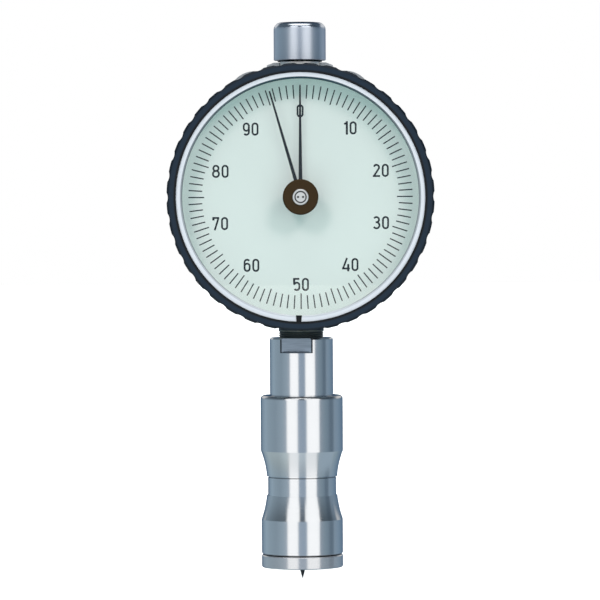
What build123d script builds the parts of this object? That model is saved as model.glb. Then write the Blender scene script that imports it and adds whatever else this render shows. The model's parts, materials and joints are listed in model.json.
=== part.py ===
from build123d import *
from math import acos, atan2, cos, degrees, pi, radians, sin, sqrt, tan
import os

# A dial durometer: a hand-held hardness tester with a sharp cone indenter.
# Millimetres. +Z runs up the spindle and the dial faces -Y.
# The origin is the middle of the presser foot's face.
# Depths are counted from the spindle's axis towards the dial, so a depth of 5 lies at Y = -5.

# Fits
running_gap = 0.03
slip_gap = 0.1
moving_room = 0.2

# Presser foot and indenter
foot_diameter = 18.0
foot_thickness = 3.0
foot_hole_diameter = 3.0
foot_edge = 0.2
foot_seam = 0.25
foot_seam_depth = 0.5
foot_spigot_length = 5.0
lower_bush_wall = 1.0
lower_bush_room = 0.5
indenter_diameter = 1.25
indenter_reach = 2.5
indenter_cone_angle = 30.0
indenter_tip_radius = 0.1
indenter_shank_length = 8.0

# Spindle and its calibrated spring
spindle_diameter = 4.0
spindle_end_edge = 0.3
spindle_end_room = 0.6
collar_thickness = 1.6
collar_rest_gap = 0.8
spring_wire_diameter = 1.5
spring_turns = 8
spring_bore_step = 0.2
adjuster_thickness = 4.0
adjuster_slot_width = 1.2
adjuster_slot_depth = 1.0
adjuster_room = 0.8

# Grip sleeve
grip_upper_proud = 0.1
grip_waist_diameter = 15.1
grip_wall = 0.95
grip_waist_step = 0.25
grip_lower_band = 7.6
grip_lower_flare = 5.3
grip_lower_hollow = 0.15
grip_waist = 4.25
grip_relief_width = 0.3
grip_relief_depth = 0.3
grip_flare_land = 0.25
grip_upper_flare = 5.65
grip_upper_hollow = 0.2
grip_upper_band = 12.25
grip_shoulder_radius = 0.8

# Spring housing and threaded neck
housing_wall = 1.0
stem_wall = 2.0
stem_height = 12.75
stem_edge = 0.3
stem_groove_width = 0.3
stem_groove_depth = 0.2
flat_depth = 1.0
flat_height = 2.9
flat_turn = 10.5
flat_ledge_edge = 0.35
neck_thread_diameter = 10.0
neck_thread_pitch = 0.5
neck_thread_depth = 0.28
neck_exposed = 1.65
neck_engagement = 8.0
neck_shank_wall = 0.9
neck_bore_room = 0.5

# Case and back cover
case_inset = 0.65
case_wall = 3.0
case_edge = 0.4
case_rim_depth = 4.6
case_back_distance = 8.0
upper_boss_diameter = 14.6
upper_boss_proud = 0.45
upper_boss_slope_width = 1.5
upper_boss_slope_height = 0.6
boss_rim_front = 0.5
pad_drop = 1.5
pad_width = 31.8
pad_corner_radius = 6.0
lug_diameter = 6.0
lug_bite = 0.4
lug_count = 4
lug_start_angle = 45.0
back_cover_thickness = 1.6
back_cover_edge = 0.5
cover_screw_head_diameter = 3.8
cover_screw_diameter = 2.0
screw_end_room = 1.2
countersink_taper = 45.0
screw_slot_width = 0.5
screw_slot_depth = 0.4

# Upper guide bush and top cap
bush_shank_wall = 0.7
bush_flange_width = 1.05
bush_flange_thickness = 1.15
bush_spigot_wall = 1.4
bush_spigot_length = 5.0
cap_diameter = 11.5
cap_height = 8.4
cap_round = 1.65
cap_bottom_edge = 0.15
cap_seat_diameter = 9.8
cap_seat_height = 0.3
cap_roof = 1.65

# Movement plates
plate_room = 1.1
plate_thickness = 0.8
plate_screw_head_diameter = 2.8
plate_screw_head_height = 0.5
plate_screw_diameter = 1.6
plate_screw_length = 4.0
bridge_radius = 17.5
bridge_thickness = 0.8
pillar_diameter = 3.0
pillar_rivet_diameter = 1.4
pillar_length = 2.6
pillar_inset = 2.0
pillar_angles = (100.0, 195.0, 340.0)
bridge_screw_head_diameter = 2.4
bridge_screw_head_height = 0.5
bridge_screw_diameter = 1.2
bridge_screw_length = 2.2
bush_diameter = 2.4
pivot_diameter = 0.8
pivot_play = 0.05
cock_height = 4.4
cock_thickness = 1.0
cock_column_width = 2.8
cock_column_distance = 5.8
cock_overhang = 1.6
cock_screw_head_diameter = 2.2
cock_screw_head_height = 0.6
cock_screw_diameter = 1.2

# Gear train: one full turn of the hand for the indenter's full reach
rack_pitch = 1.0
rack_flat_depth = 0.4
rack_gaps_below = 6
rack_gaps_above = 4
rack_pinion_teeth = 15
rack_pinion_width = 2.6
gear_module = 0.25
drive_gear_teeth = 72
centre_pinion_teeth = 12
takeup_gear_teeth = 60
takeup_direction = 45.0
gear_thickness = 0.6
centre_pinion_width = 1.6
pressure_angle = radians(20.0)
tooth_addendum = 0.8
tooth_dedendum = 1.1
tooth_backlash = 0.03
mesh_room = 0.02
drive_arbor_diameter = 2.0
centre_arbor_diameter = 1.5
hand_seat_diameter = 1.0
takeup_arbor_diameter = 1.2

# Hairspring and its collet and stud
collet_diameter = 2.0
collet_width = 0.8
hairspring_thickness = 0.15
hairspring_width = 0.5
hairspring_half_turns = 9
hairspring_step = 0.45
stud_size = 0.8

# Spindle guide
guide_pin_diameter = 1.2
guide_pin_rise = 15.0
guide_block_width = 4.0
guide_block_height = 10.0
guide_block_gap = 0.6
guide_screw_head_diameter = 2.0
guide_screw_diameter = 1.0
guide_screw_spacing = 7.0
guide_slot_wall = 0.5

# Bezel, dial and crystal
bezel_radius = 29.25
bezel_groove_count = 40
bezel_groove_depth = 0.29
bezel_groove_radius = 2.6
bezel_first_groove = 90.0
bezel_edge = 0.45
bezel_lip = 0.35
bezel_skirt_wall = 1.85
bezel_rim_width = 2.05
bezel_ledge_width = 2.0
bezel_ledge_thickness = 0.8
dial_room = 0.9
dial_thickness = 0.4
dial_hole_diameter = 3.2
spacer_wall = 1.1
crystal_thickness = 1.4
crystal_edge = 0.1
ring_thickness = 1.0
ring_width = 1.35
ring_bevel = 0.15
ring_seat_depth = 0.22
ring_gap_outer_width = 1.1
ring_gap_inner_width = 1.5
ring_gap_turn = 1.1
wire_diameter = 0.6
wire_gap_angle = 20.0

# Hands
hand_thickness = 0.25
main_hand_height = 1.3
main_hand_tip_room = 1.7
main_hand_base_width = 0.9
main_hand_boss_diameter = 4.4
main_hub_diameter = 2.6
main_hub_length = 0.8
hand_tip_width = 0.36
dog_diameter = 0.4
dog_room = 0.25
dog_radius = 8.0
drag_hand_gap = 0.6
drag_hand_tip_room = 1.9
drag_hand_room = 0.6
drag_hand_base_width = 0.85
drag_hand_boss_diameter = 3.0
drag_hand_turn = 16.1
drag_shaft_diameter = 1.8
drag_lip_diameter = 2.4
drag_lip_thickness = 0.25
drag_washer_diameter = 4.8
drag_washer_thickness = 0.2
drag_knob_diameter = 7.8
drag_knob_thickness = 1.3
drag_knob_edge = 0.25
drag_head_diameter = 3.5
drag_head_height = 0.45
drag_head_edge = 0.11
drag_head_rim = 0.4
drag_head_groove = 0.3
drag_head_hole_diameter = 0.5
drag_head_hole_spacing = 1.1

# Diameters and radii about the spindle
spindle_radius = spindle_diameter / 2
indenter_radius = indenter_diameter / 2
lower_bush_diameter = spindle_diameter + 2 * lower_bush_wall
housing_core_diameter = grip_waist_diameter - 2 * (grip_wall + slip_gap)
foot_spigot_diameter = housing_core_diameter - 2 * housing_wall
stem_diameter = neck_thread_diameter + 2 * stem_wall
flat_width = stem_diameter - 2 * flat_depth
spring_bore_radius = neck_thread_diameter / 2 - spring_bore_step
spring_mean_diameter = 2 * (spring_bore_radius - moving_room) - spring_wire_diameter
collar_diameter = spring_mean_diameter + spring_wire_diameter - 2 * moving_room
neck_bore_diameter = spindle_diameter + 2 * neck_bore_room
neck_shank_diameter = neck_bore_diameter + 2 * neck_shank_wall
bush_shank_diameter = spindle_diameter + 2 * bush_shank_wall
bush_spigot_diameter = spindle_diameter + 2 * bush_spigot_wall
bush_flange_diameter = bush_spigot_diameter + 2 * bush_flange_width

# Radii about the dial's axis
case_radius = bezel_radius - case_inset
case_bore_radius = case_radius - case_wall
case_spigot_radius = bezel_radius - bezel_skirt_wall
back_cover_radius = case_radius - case_edge
lower_boss_reach = bezel_radius + moving_room
upper_boss_reach = bezel_radius + upper_boss_proud
flange_reach = case_radius + slip_gap
pad_reach = bezel_radius - pad_drop
lug_circle_radius = case_bore_radius + lug_bite - lug_diameter / 2
plate_radius = case_bore_radius - plate_room
pillar_circle_radius = bridge_radius - pillar_inset
bezel_bore_radius = bezel_radius - bezel_rim_width
bezel_ledge_radius = bezel_bore_radius - bezel_ledge_width
crystal_radius = bezel_bore_radius - slip_gap
spacer_inner_radius = crystal_radius - spacer_wall
ring_inner_radius = bezel_bore_radius - ring_width
main_hand_reach = spacer_inner_radius - main_hand_tip_room
drag_hand_reach = spacer_inner_radius - drag_hand_tip_room

# Heights up the spindle
spigot_top = foot_thickness + foot_spigot_length
collar_bottom = spigot_top + collar_rest_gap
collar_top = collar_bottom + collar_thickness
lower_band_top = foot_thickness + grip_lower_band
waist_bottom = lower_band_top + grip_lower_flare
waist_top = waist_bottom + grip_waist
upper_band_bottom = waist_top + grip_upper_flare
grip_top = upper_band_bottom + grip_upper_band
stem_top = grip_top + stem_height
neck_bottom = stem_top - neck_engagement
adjuster_top = neck_bottom - adjuster_room
adjuster_bottom = adjuster_top - adjuster_thickness
lower_boss_face = stem_top + neck_exposed
dial_height = lower_boss_face + lower_boss_reach
upper_boss_face = dial_height + upper_boss_reach
flange_bottom = dial_height + flange_reach
flange_top = flange_bottom + bush_flange_thickness
cap_bottom = flange_top + cap_seat_height
cap_top = cap_bottom + cap_height
cap_ceiling = cap_top - cap_roof
spindle_top = cap_ceiling - spindle_end_room - indenter_reach
plate_bottom = dial_height - plate_radius
plate_top = dial_height + plate_radius
guide_pin_height = dial_height + guide_pin_rise

# Depths from the spindle's axis towards the dial
plate_back = spindle_radius + moving_room
plate_front = plate_back + plate_thickness
bridge_back = plate_front + pillar_length
bridge_front = bridge_back + bridge_thickness
gear_back = plate_front + plate_screw_head_height + moving_room
gear_front = gear_back + gear_thickness
pinion_back = gear_back - moving_room
dial_back = bridge_front + dial_room
dial_front = dial_back + dial_thickness
main_hand_back = dial_front + main_hand_height
main_hand_front = main_hand_back + hand_thickness
drag_hand_back = main_hand_front + drag_hand_gap
drag_hand_front = drag_hand_back + hand_thickness
crystal_back = drag_hand_front + drag_hand_room
crystal_front = crystal_back + crystal_thickness
ring_front = crystal_front + ring_thickness
bezel_front = ring_front + bezel_lip
bezel_back = case_rim_depth + moving_room
ledge_back = dial_back - bezel_ledge_thickness
spigot_front = ledge_back - moving_room
wire_depth = (bezel_back + spigot_front) / 2
cover_inside = -case_back_distance
cover_outside = cover_inside - back_cover_thickness
cover_screw_length = plate_back - cover_inside - plate_screw_length - screw_end_room
pinion_half_width = rack_pinion_width / 2
cock_front = -pinion_half_width - pivot_play - moving_room
cock_back = cock_front - cock_thickness

# Gear places, as seen from the front
rack_module = rack_pitch / pi
rack_tip = spindle_radius - rack_flat_depth
rack_pitch_line = rack_tip - tooth_addendum * rack_module
rack_pinion_radius = rack_module * rack_pinion_teeth / 2
drive_gear_radius = gear_module * drive_gear_teeth / 2
centre_pinion_radius = gear_module * centre_pinion_teeth / 2
takeup_gear_radius = gear_module * takeup_gear_teeth / 2
drive_distance = drive_gear_radius + centre_pinion_radius + mesh_room
takeup_distance = takeup_gear_radius + centre_pinion_radius + mesh_room
drive_x = -(rack_pitch_line + rack_pinion_radius + mesh_room)
drive_drop = sqrt(drive_distance**2 - drive_x**2)
centre_place = (0, dial_height)
drive_place = (drive_x, dial_height - drive_drop)
takeup_place = (
    takeup_distance * cos(radians(takeup_direction)),
    dial_height + takeup_distance * sin(radians(takeup_direction)),
)

# A tooth of the drive gear points at the centre arbor, and the other gears are turned to mesh with it.
drive_to_centre = degrees(atan2(drive_drop, -drive_x))
half_turn = 180.0
full_turn = 360.0
drive_gear_turn = drive_to_centre
centre_pinion_turn = drive_to_centre + half_turn + half_turn / centre_pinion_teeth
pinion_lag = (takeup_direction - centre_pinion_turn) % (full_turn / centre_pinion_teeth)
takeup_gear_turn = (
    takeup_direction
    + half_turn
    + pinion_lag * centre_pinion_teeth / takeup_gear_teeth
    + half_turn / takeup_gear_teeth
)

# Planes for pieces that face the dial's way
dial_section = Plane(origin=(0, 0, dial_height), x_dir=(1, 0, 0), z_dir=(0, 0, -1))
dial_axis = Axis((0, 0, dial_height), (0, 1, 0))


def front_plane(depth, place=centre_place, turn=0.0):
    """Plane that faces the front at a depth, with its middle at a place (X, Z), turned by degrees."""
    across = (cos(radians(turn)), 0, sin(radians(turn)))
    return Plane(origin=(place[0], -depth, place[1]), x_dir=across, z_dir=(0, -1, 0))


def involute(angle):
    """Involute function of an angle in radians."""
    return tan(angle) - angle


def gear_outline(teeth, module, first_tooth):
    """Corners of a spur gear whose first tooth points at an angle in degrees."""
    pitch_radius = module * teeth / 2
    base_radius = pitch_radius * cos(pressure_angle)
    tip_radius = pitch_radius + tooth_addendum * module
    root_radius = pitch_radius - tooth_dedendum * module
    half_tooth = (pi * module / 2 - tooth_backlash) / (2 * pitch_radius)

    def half_angle(radius):
        flank_angle = acos(min(1.0, base_radius / radius))
        return half_tooth + involute(pressure_angle) - involute(flank_angle)

    corners = []
    for tooth in range(teeth):
        middle = radians(first_tooth + full_turn * tooth / teeth)
        for radius, side in ((root_radius, -1), (tip_radius, -1), (tip_radius, 1), (root_radius, 1)):
            angle = middle + side * half_angle(radius)
            corners.append((radius * cos(angle), radius * sin(angle)))
    return corners


def spur_gear(teeth, module, first_tooth, bore_diameter, back, width, place):
    """Toothed wheel with a bore, turned to first_tooth, from a back depth forwards."""
    with BuildPart() as gear:
        with BuildSketch(front_plane(back, place)):
            with BuildLine():
                Polyline(*gear_outline(teeth, module, first_tooth), close=True)
            make_face()
            Circle(bore_diameter / 2, mode=Mode.SUBTRACT)
        extrude(amount=width)
    return gear.part


def arbor(place, diameter, back_pivot, body_back, body_front, front_pivot):
    """Turned shaft with a thin pivot at each end, given by its four depths."""
    with BuildPart() as shaft:
        with BuildSketch(front_plane(back_pivot, place)):
            Circle(pivot_diameter / 2)
        extrude(amount=front_pivot - back_pivot)
        with BuildSketch(front_plane(body_back, place)):
            Circle(diameter / 2)
        extrude(amount=body_front - body_back)
    return shaft.part


def bushes(places, back, width):
    """Bearing rings for pivots, one at each place, as separate solids."""
    with BuildPart() as rings:
        for place in places:
            with BuildSketch(front_plane(back, place)):
                Circle(bush_diameter / 2)
                Circle(pivot_diameter / 2 + running_gap, mode=Mode.SUBTRACT)
            extrude(amount=width)
    return rings.part


def cheese_head_screws(places, seat, head_diameter, head_height, diameter, length):
    """Slotted screws whose heads stand on a seat depth, one at each place."""
    with BuildPart() as screws:
        for place in places:
            with BuildSketch(front_plane(seat, place)):
                Circle(head_diameter / 2)
            extrude(amount=head_height)
            with BuildSketch(front_plane(seat, place)):
                Circle(diameter / 2)
            extrude(amount=-length)
            with BuildSketch(front_plane(seat + head_height, place)):
                Rectangle(head_diameter, screw_slot_width)
            extrude(amount=-head_height / 2, mode=Mode.SUBTRACT)
    return screws.part


def ring_places(radius, angles):
    """Places on a circle about the dial's axis."""
    return [(radius * cos(radians(a)), dial_height + radius * sin(radians(a))) for a in angles]


def finish(piece, name):
    """Label a finished piece and write its file."""
    piece.label = name
    export_step(piece, f"parts/{name}.step")


lug_angles = [lug_start_angle + full_turn * lug / lug_count for lug in range(lug_count)]
lug_places = ring_places(lug_circle_radius, lug_angles)
pillar_places = ring_places(pillar_circle_radius, pillar_angles)

# Presser foot: flange, threaded spigot, bore for the guide bush and the indenter's hole
with BuildPart() as presser_foot:
    with BuildSketch(Plane.XY):
        Circle(foot_diameter / 2)
    extrude(amount=foot_thickness - foot_seam)
    chamfer(presser_foot.edges().filter_by(GeomType.CIRCLE), length=foot_edge)
    with BuildSketch(Plane.XY.offset(foot_thickness - foot_seam)):
        Circle(foot_diameter / 2 - foot_seam_depth)
    extrude(amount=foot_seam)
    with BuildSketch(Plane.XY.offset(foot_thickness)):
        Circle(foot_spigot_diameter / 2)
    extrude(amount=foot_spigot_length)
    with BuildSketch(Plane.XY.offset(foot_thickness)):
        Circle(lower_bush_diameter / 2)
    extrude(amount=foot_spigot_length, mode=Mode.SUBTRACT)
    with BuildSketch(Plane.XY):
        Circle(foot_hole_diameter / 2)
    extrude(amount=foot_thickness, mode=Mode.SUBTRACT)

with BuildPart() as lower_guide_bush:
    with BuildSketch(Plane.XY.offset(foot_thickness + lower_bush_room)):
        Circle(lower_bush_diameter / 2)
        Circle(spindle_radius + running_gap, mode=Mode.SUBTRACT)
    extrude(amount=foot_spigot_length - lower_bush_room)

# Indenter: a pin with a cone whose tip is rounded
cone_half_angle = radians(indenter_cone_angle / 2)
tip_centre = indenter_tip_radius - indenter_reach
tip_edge_radius = indenter_tip_radius * cos(cone_half_angle)
tip_edge_height = tip_centre - indenter_tip_radius * sin(cone_half_angle)
cone_top = tip_edge_height + (indenter_radius - tip_edge_radius) / tan(cone_half_angle)
indenter_top = foot_thickness + indenter_shank_length
with BuildPart() as indenter:
    with BuildSketch(Plane.XZ):
        with BuildLine():
            TangentArc((0, -indenter_reach), (tip_edge_radius, tip_edge_height), tangent=(1, 0))
            Polyline(
                (tip_edge_radius, tip_edge_height),
                (indenter_radius, cone_top),
                (indenter_radius, indenter_top),
                (0, indenter_top),
                (0, -indenter_reach),
            )
        make_face()
    revolve(axis=Axis.Z)

# Spindle: a rod with the rack cut into its left side and a seat for the indenter
drive_height = drive_place[1]
rack_low = drive_height - rack_gaps_below * rack_pitch - rack_pitch / 2
rack_high = drive_height + rack_gaps_above * rack_pitch + rack_pitch / 2
rack_root = rack_pitch_line - tooth_dedendum * rack_module
gap_half_width = (rack_pitch / 2 + tooth_backlash) / 2
gap_root_half = gap_half_width - (rack_pitch_line - rack_root) * tan(pressure_angle)
gap_open_half = gap_half_width + (rack_tip - rack_pitch_line) * tan(pressure_angle)
rack_gap_places = [
    (0, drive_height + step * rack_pitch) for step in range(-rack_gaps_below, rack_gaps_above + 1)
]
with BuildPart() as spindle:
    with BuildSketch(Plane.XY.offset(foot_thickness)):
        Circle(spindle_radius)
    extrude(amount=spindle_top - foot_thickness)
    chamfer(spindle.edges().group_by(Axis.Z)[-1], length=spindle_end_edge)
    with BuildSketch(Plane.XY.offset(foot_thickness)):
        Circle(indenter_radius)
    extrude(amount=indenter_shank_length, mode=Mode.SUBTRACT)
    with BuildSketch(Plane.XZ):
        with Locations((-rack_tip - rack_flat_depth, (rack_low + rack_high) / 2)):
            Rectangle(2 * rack_flat_depth, rack_high - rack_low)
        with Locations(*rack_gap_places):
            Polygon(
                (-rack_root, -gap_root_half),
                (-rack_root, gap_root_half),
                (-rack_tip, gap_open_half),
                (-rack_tip, -gap_open_half),
                align=None,
            )
    extrude(amount=spindle_radius, both=True, mode=Mode.SUBTRACT)
    with BuildSketch(Plane.YZ):
        with Locations((0, guide_pin_height)):
            Circle(guide_pin_diameter / 2)
    extrude(amount=spindle_radius, both=True, mode=Mode.SUBTRACT)

with BuildPart() as spring_collar:
    with BuildSketch(Plane.XY.offset(collar_bottom)):
        Circle(collar_diameter / 2)
        Circle(spindle_radius, mode=Mode.SUBTRACT)
    extrude(amount=collar_thickness)
    chamfer(spring_collar.edges().group_by(Axis.Z)[0].sort_by(SortBy.RADIUS)[-1], length=spindle_end_edge)

# Guide pin, across the spindle and into the guide block's slot
guide_left = spindle_radius + guide_block_gap
slot_end = guide_left + guide_block_width - guide_slot_wall
pin_start = -spindle_radius / 2
with BuildPart() as guide_pin:
    with BuildSketch(Plane.YZ.offset(pin_start)):
        with Locations((0, guide_pin_height)):
            Circle(guide_pin_diameter / 2)
    extrude(amount=slot_end - moving_room - pin_start)

# Calibrated spring: one wire wound between the collar and the adjuster
spring_pitch = (adjuster_bottom - collar_top - spring_wire_diameter) / spring_turns
with BuildPart() as calibrated_spring:
    with BuildLine(Plane.XY.offset(collar_top + spring_wire_diameter / 2)):
        wire_line = Helix(spring_pitch, spring_pitch * spring_turns, spring_mean_diameter / 2)
    with BuildSketch(Plane(origin=wire_line @ 0, z_dir=wire_line % 0)):
        Circle(spring_wire_diameter / 2)
    sweep(path=wire_line, is_frenet=True)

with BuildPart() as spring_adjuster:
    with BuildSketch(Plane.XY.offset(adjuster_bottom)):
        Circle(neck_thread_diameter / 2)
        Circle(neck_bore_diameter / 2, mode=Mode.SUBTRACT)
    extrude(amount=adjuster_thickness)
    with BuildSketch(Plane.XY.offset(adjuster_top)):
        Rectangle(neck_thread_diameter, adjuster_slot_width)
    extrude(amount=-adjuster_slot_depth, mode=Mode.SUBTRACT)

# Grip sleeve: a lower band flush with the foot, a waist and an upper band, joined by hollow curves
sleeve_bore_radius = housing_core_diameter / 2 + slip_gap
lower_radius = foot_diameter / 2
upper_radius = lower_radius + grip_upper_proud
waist_radius = grip_waist_diameter / 2
flare_radius = waist_radius + grip_waist_step
relief_radius = waist_radius - grip_relief_depth
relief_bottom = waist_top - grip_relief_width
land_top = waist_top + grip_flare_land
shoulder_inner = upper_radius - grip_shoulder_radius
shoulder_start = grip_top - grip_shoulder_radius
with BuildPart() as grip_sleeve:
    with BuildSketch(Plane.XZ):
        with BuildLine():
            Polyline(
                (sleeve_bore_radius, foot_thickness),
                (lower_radius - foot_edge, foot_thickness),
                (lower_radius, foot_thickness + foot_edge),
                (lower_radius, lower_band_top),
            )
            SagittaArc((lower_radius, lower_band_top), (flare_radius, waist_bottom), grip_lower_hollow)
            Polyline(
                (flare_radius, waist_bottom),
                (waist_radius, waist_bottom),
                (waist_radius, relief_bottom),
                (relief_radius, relief_bottom),
                (relief_radius, waist_top),
                (flare_radius, waist_top),
                (flare_radius, land_top),
            )
            SagittaArc((flare_radius, land_top), (upper_radius, upper_band_bottom), grip_upper_hollow)
            Line((upper_radius, upper_band_bottom), (upper_radius, shoulder_start))
            TangentArc((upper_radius, shoulder_start), (shoulder_inner, grip_top), tangent=(0, 1))
            Polyline(
                (shoulder_inner, grip_top),
                (sleeve_bore_radius, grip_top),
                (sleeve_bore_radius, foot_thickness),
            )
        make_face()
    revolve(axis=Axis.Z)

# Spring housing: the barrel's core, its stem with two wrench flats, and the stepped bore
stem_radius = stem_diameter / 2
housing_bottom = foot_thickness + moving_room
flat_bottom = stem_top - flat_height
with BuildPart() as spring_housing:
    with BuildSketch(Plane.XY.offset(housing_bottom)):
        Circle(housing_core_diameter / 2)
    extrude(amount=grip_top - housing_bottom)
    with BuildSketch(Plane.XY.offset(grip_top)):
        Circle(stem_radius)
    extrude(amount=stem_height)
    chamfer(spring_housing.edges().group_by(Axis.Z)[-1], length=stem_edge)
    with BuildSketch(Plane.XY.offset(grip_top)):
        Circle(stem_radius)
        Circle(stem_radius - stem_groove_depth, mode=Mode.SUBTRACT)
    extrude(amount=stem_groove_width, mode=Mode.SUBTRACT)
    with BuildSketch(Plane.XY.offset(flat_bottom).rotated((0, 0, -flat_turn))):
        with GridLocations(0, flat_width + stem_radius, 1, 2):
            Rectangle(stem_diameter, stem_radius)
    extrude(amount=flat_height, mode=Mode.SUBTRACT)
    ledges = spring_housing.edges().filter_by(GeomType.CIRCLE).filter_by_position(
        Axis.Z, flat_bottom, flat_bottom
    )
    chamfer(ledges, length=flat_ledge_edge)
    with BuildSketch(Plane.XY.offset(housing_bottom)):
        Circle(foot_spigot_diameter / 2)
    extrude(amount=spigot_top + moving_room - housing_bottom, mode=Mode.SUBTRACT)
    with BuildSketch(Plane.XY.offset(housing_bottom)):
        Circle(spring_bore_radius)
    extrude(amount=stem_top - housing_bottom, mode=Mode.SUBTRACT)
    with BuildSketch(Plane.XY.offset(adjuster_bottom)):
        Circle(neck_thread_diameter / 2)
    extrude(amount=stem_top - adjuster_bottom, mode=Mode.SUBTRACT)

# Threaded neck between the spring housing and the case, with its bare thread cut as grooves
neck_radius = neck_thread_diameter / 2
neck_top = plate_bottom - moving_room
thread_groove_count = int(neck_exposed / neck_thread_pitch)
with BuildPart() as threaded_neck:
    with BuildSketch(Plane.XY.offset(neck_bottom)):
        Circle(neck_radius)
    extrude(amount=lower_boss_face - neck_bottom)
    with BuildSketch(Plane.XY.offset(lower_boss_face)):
        Circle(neck_shank_diameter / 2)
    extrude(amount=neck_top - lower_boss_face)
    with BuildSketch(Plane.XZ):
        for groove in range(thread_groove_count):
            groove_middle = stem_top + groove * neck_thread_pitch + neck_thread_pitch / 2
            Polygon(
                (neck_radius, groove_middle - neck_thread_pitch / 2),
                (neck_radius - neck_thread_depth, groove_middle),
                (neck_radius, groove_middle + neck_thread_pitch / 2),
                align=None,
            )
    revolve(axis=Axis.Z, mode=Mode.SUBTRACT)
    with BuildSketch(Plane.XY.offset(neck_bottom)):
        Circle(neck_bore_diameter / 2)
    extrude(amount=neck_top - neck_bottom, mode=Mode.SUBTRACT)

# Case: a deep ring, flat on top, with a front spigot for the bezel, bosses for neck and bush, and screw lugs
wire_groove_half = wire_diameter / 2 + slip_gap
wire_circle_radius = case_spigot_radius
with BuildPart() as case:
    with BuildSketch(front_plane(cover_inside)):
        Circle(case_radius)
    extrude(amount=case_rim_depth - cover_inside)
    chamfer(case.edges().filter_by(GeomType.CIRCLE), length=case_edge)
    with BuildSketch(front_plane(cover_inside + case_edge)) as pad:
        with Locations((0, pad_reach / 2)):
            Rectangle(pad_width, pad_reach)
        fillet(pad.vertices().group_by(Axis.Y)[-1], radius=pad_corner_radius)
    extrude(amount=case_rim_depth - case_edge - cover_inside - case_edge)
    with BuildSketch(front_plane(case_rim_depth)):
        Circle(case_spigot_radius)
    extrude(amount=spigot_front - case_rim_depth)
    for boss_end, boss_diameter in (
        (lower_boss_face, neck_thread_diameter),
        (upper_boss_face, upper_boss_diameter),
    ):
        with BuildSketch(Plane.XY.offset(boss_end)):
            Circle(boss_diameter / 2)
            with Locations((0, (case_back_distance - case_rim_depth) / 2)):
                Rectangle(boss_diameter, case_back_distance + case_rim_depth, mode=Mode.INTERSECT)
        extrude(amount=dial_height - boss_end)
    boss_top = case.faces().sort_by(Axis.Z)[-1]
    chamfer(
        boss_top.edges(), length=upper_boss_slope_width, length2=upper_boss_slope_height, reference=boss_top
    )
    with BuildSketch(front_plane(cover_inside)):
        Circle(case_bore_radius)
    extrude(amount=spigot_front - cover_inside, mode=Mode.SUBTRACT)
    with BuildSketch(front_plane(cover_inside)):
        with PolarLocations(lug_circle_radius, lug_count, start_angle=lug_start_angle):
            Circle(lug_diameter / 2)
    extrude(amount=plate_back - cover_inside)
    with BuildSketch(front_plane(cover_inside)):
        with PolarLocations(lug_circle_radius, lug_count, start_angle=lug_start_angle):
            Circle(cover_screw_diameter / 2)
    extrude(amount=cover_screw_length, mode=Mode.SUBTRACT)
    with BuildSketch(front_plane(plate_back)):
        with PolarLocations(lug_circle_radius, lug_count, start_angle=lug_start_angle):
            Circle(plate_screw_diameter / 2)
    extrude(amount=-plate_screw_length, mode=Mode.SUBTRACT)
    with BuildSketch(Plane.XY.offset(lower_boss_face)):
        Circle(neck_shank_diameter / 2)
    extrude(amount=lower_boss_reach, mode=Mode.SUBTRACT)
    with BuildSketch(Plane.XY.offset(dial_height)):
        Circle(bush_shank_diameter / 2)
    extrude(amount=upper_boss_reach, mode=Mode.SUBTRACT)
    with BuildSketch(Plane.XY.offset(flange_bottom)):
        Circle(bush_flange_diameter / 2 + slip_gap)
        with Locations((0, -boss_rim_front - case_rim_depth / 2)):
            Rectangle(upper_boss_diameter, case_rim_depth)
    extrude(amount=upper_boss_face - flange_bottom, mode=Mode.SUBTRACT)
    with BuildSketch(front_plane(wire_depth - wire_groove_half)):
        Circle(case_spigot_radius)
        Circle(wire_circle_radius - wire_groove_half, mode=Mode.SUBTRACT)
    extrude(amount=2 * wire_groove_half, mode=Mode.SUBTRACT)

with BuildPart() as bezel_spring_wire:
    with BuildSketch(dial_section):
        with Locations((wire_circle_radius, wire_depth)):
            Circle(wire_diameter / 2)
    revolve(axis=dial_axis, revolution_arc=full_turn - wire_gap_angle)

# Back cover with countersunk holes, and its screws
head_depth = (cover_screw_head_diameter - cover_screw_diameter) / 2
with BuildPart() as back_cover:
    with BuildSketch(front_plane(cover_outside)):
        Circle(back_cover_radius)
    extrude(amount=back_cover_thickness)
    chamfer(back_cover.edges().sort_by(Axis.Y)[-1], length=back_cover_edge)
    with BuildSketch(front_plane(cover_outside)):
        with PolarLocations(lug_circle_radius, lug_count, start_angle=lug_start_angle):
            Circle(cover_screw_head_diameter / 2)
    extrude(amount=head_depth, taper=countersink_taper, mode=Mode.SUBTRACT)
    with BuildSketch(front_plane(cover_outside)):
        with PolarLocations(lug_circle_radius, lug_count, start_angle=lug_start_angle):
            Circle(cover_screw_diameter / 2)
    extrude(amount=back_cover_thickness, mode=Mode.SUBTRACT)

with BuildPart() as back_cover_screws:
    with BuildSketch(front_plane(cover_outside)):
        with PolarLocations(lug_circle_radius, lug_count, start_angle=lug_start_angle):
            Circle(cover_screw_head_diameter / 2)
    extrude(amount=head_depth, taper=countersink_taper)
    with BuildSketch(front_plane(cover_outside)):
        with PolarLocations(lug_circle_radius, lug_count, start_angle=lug_start_angle):
            Circle(cover_screw_diameter / 2)
    extrude(amount=back_cover_thickness + cover_screw_length)
    with BuildSketch(front_plane(cover_outside)):
        with PolarLocations(lug_circle_radius, lug_count, start_angle=lug_start_angle):
            Rectangle(screw_slot_width, cover_screw_head_diameter)
    extrude(amount=screw_slot_depth, mode=Mode.SUBTRACT)

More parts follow.
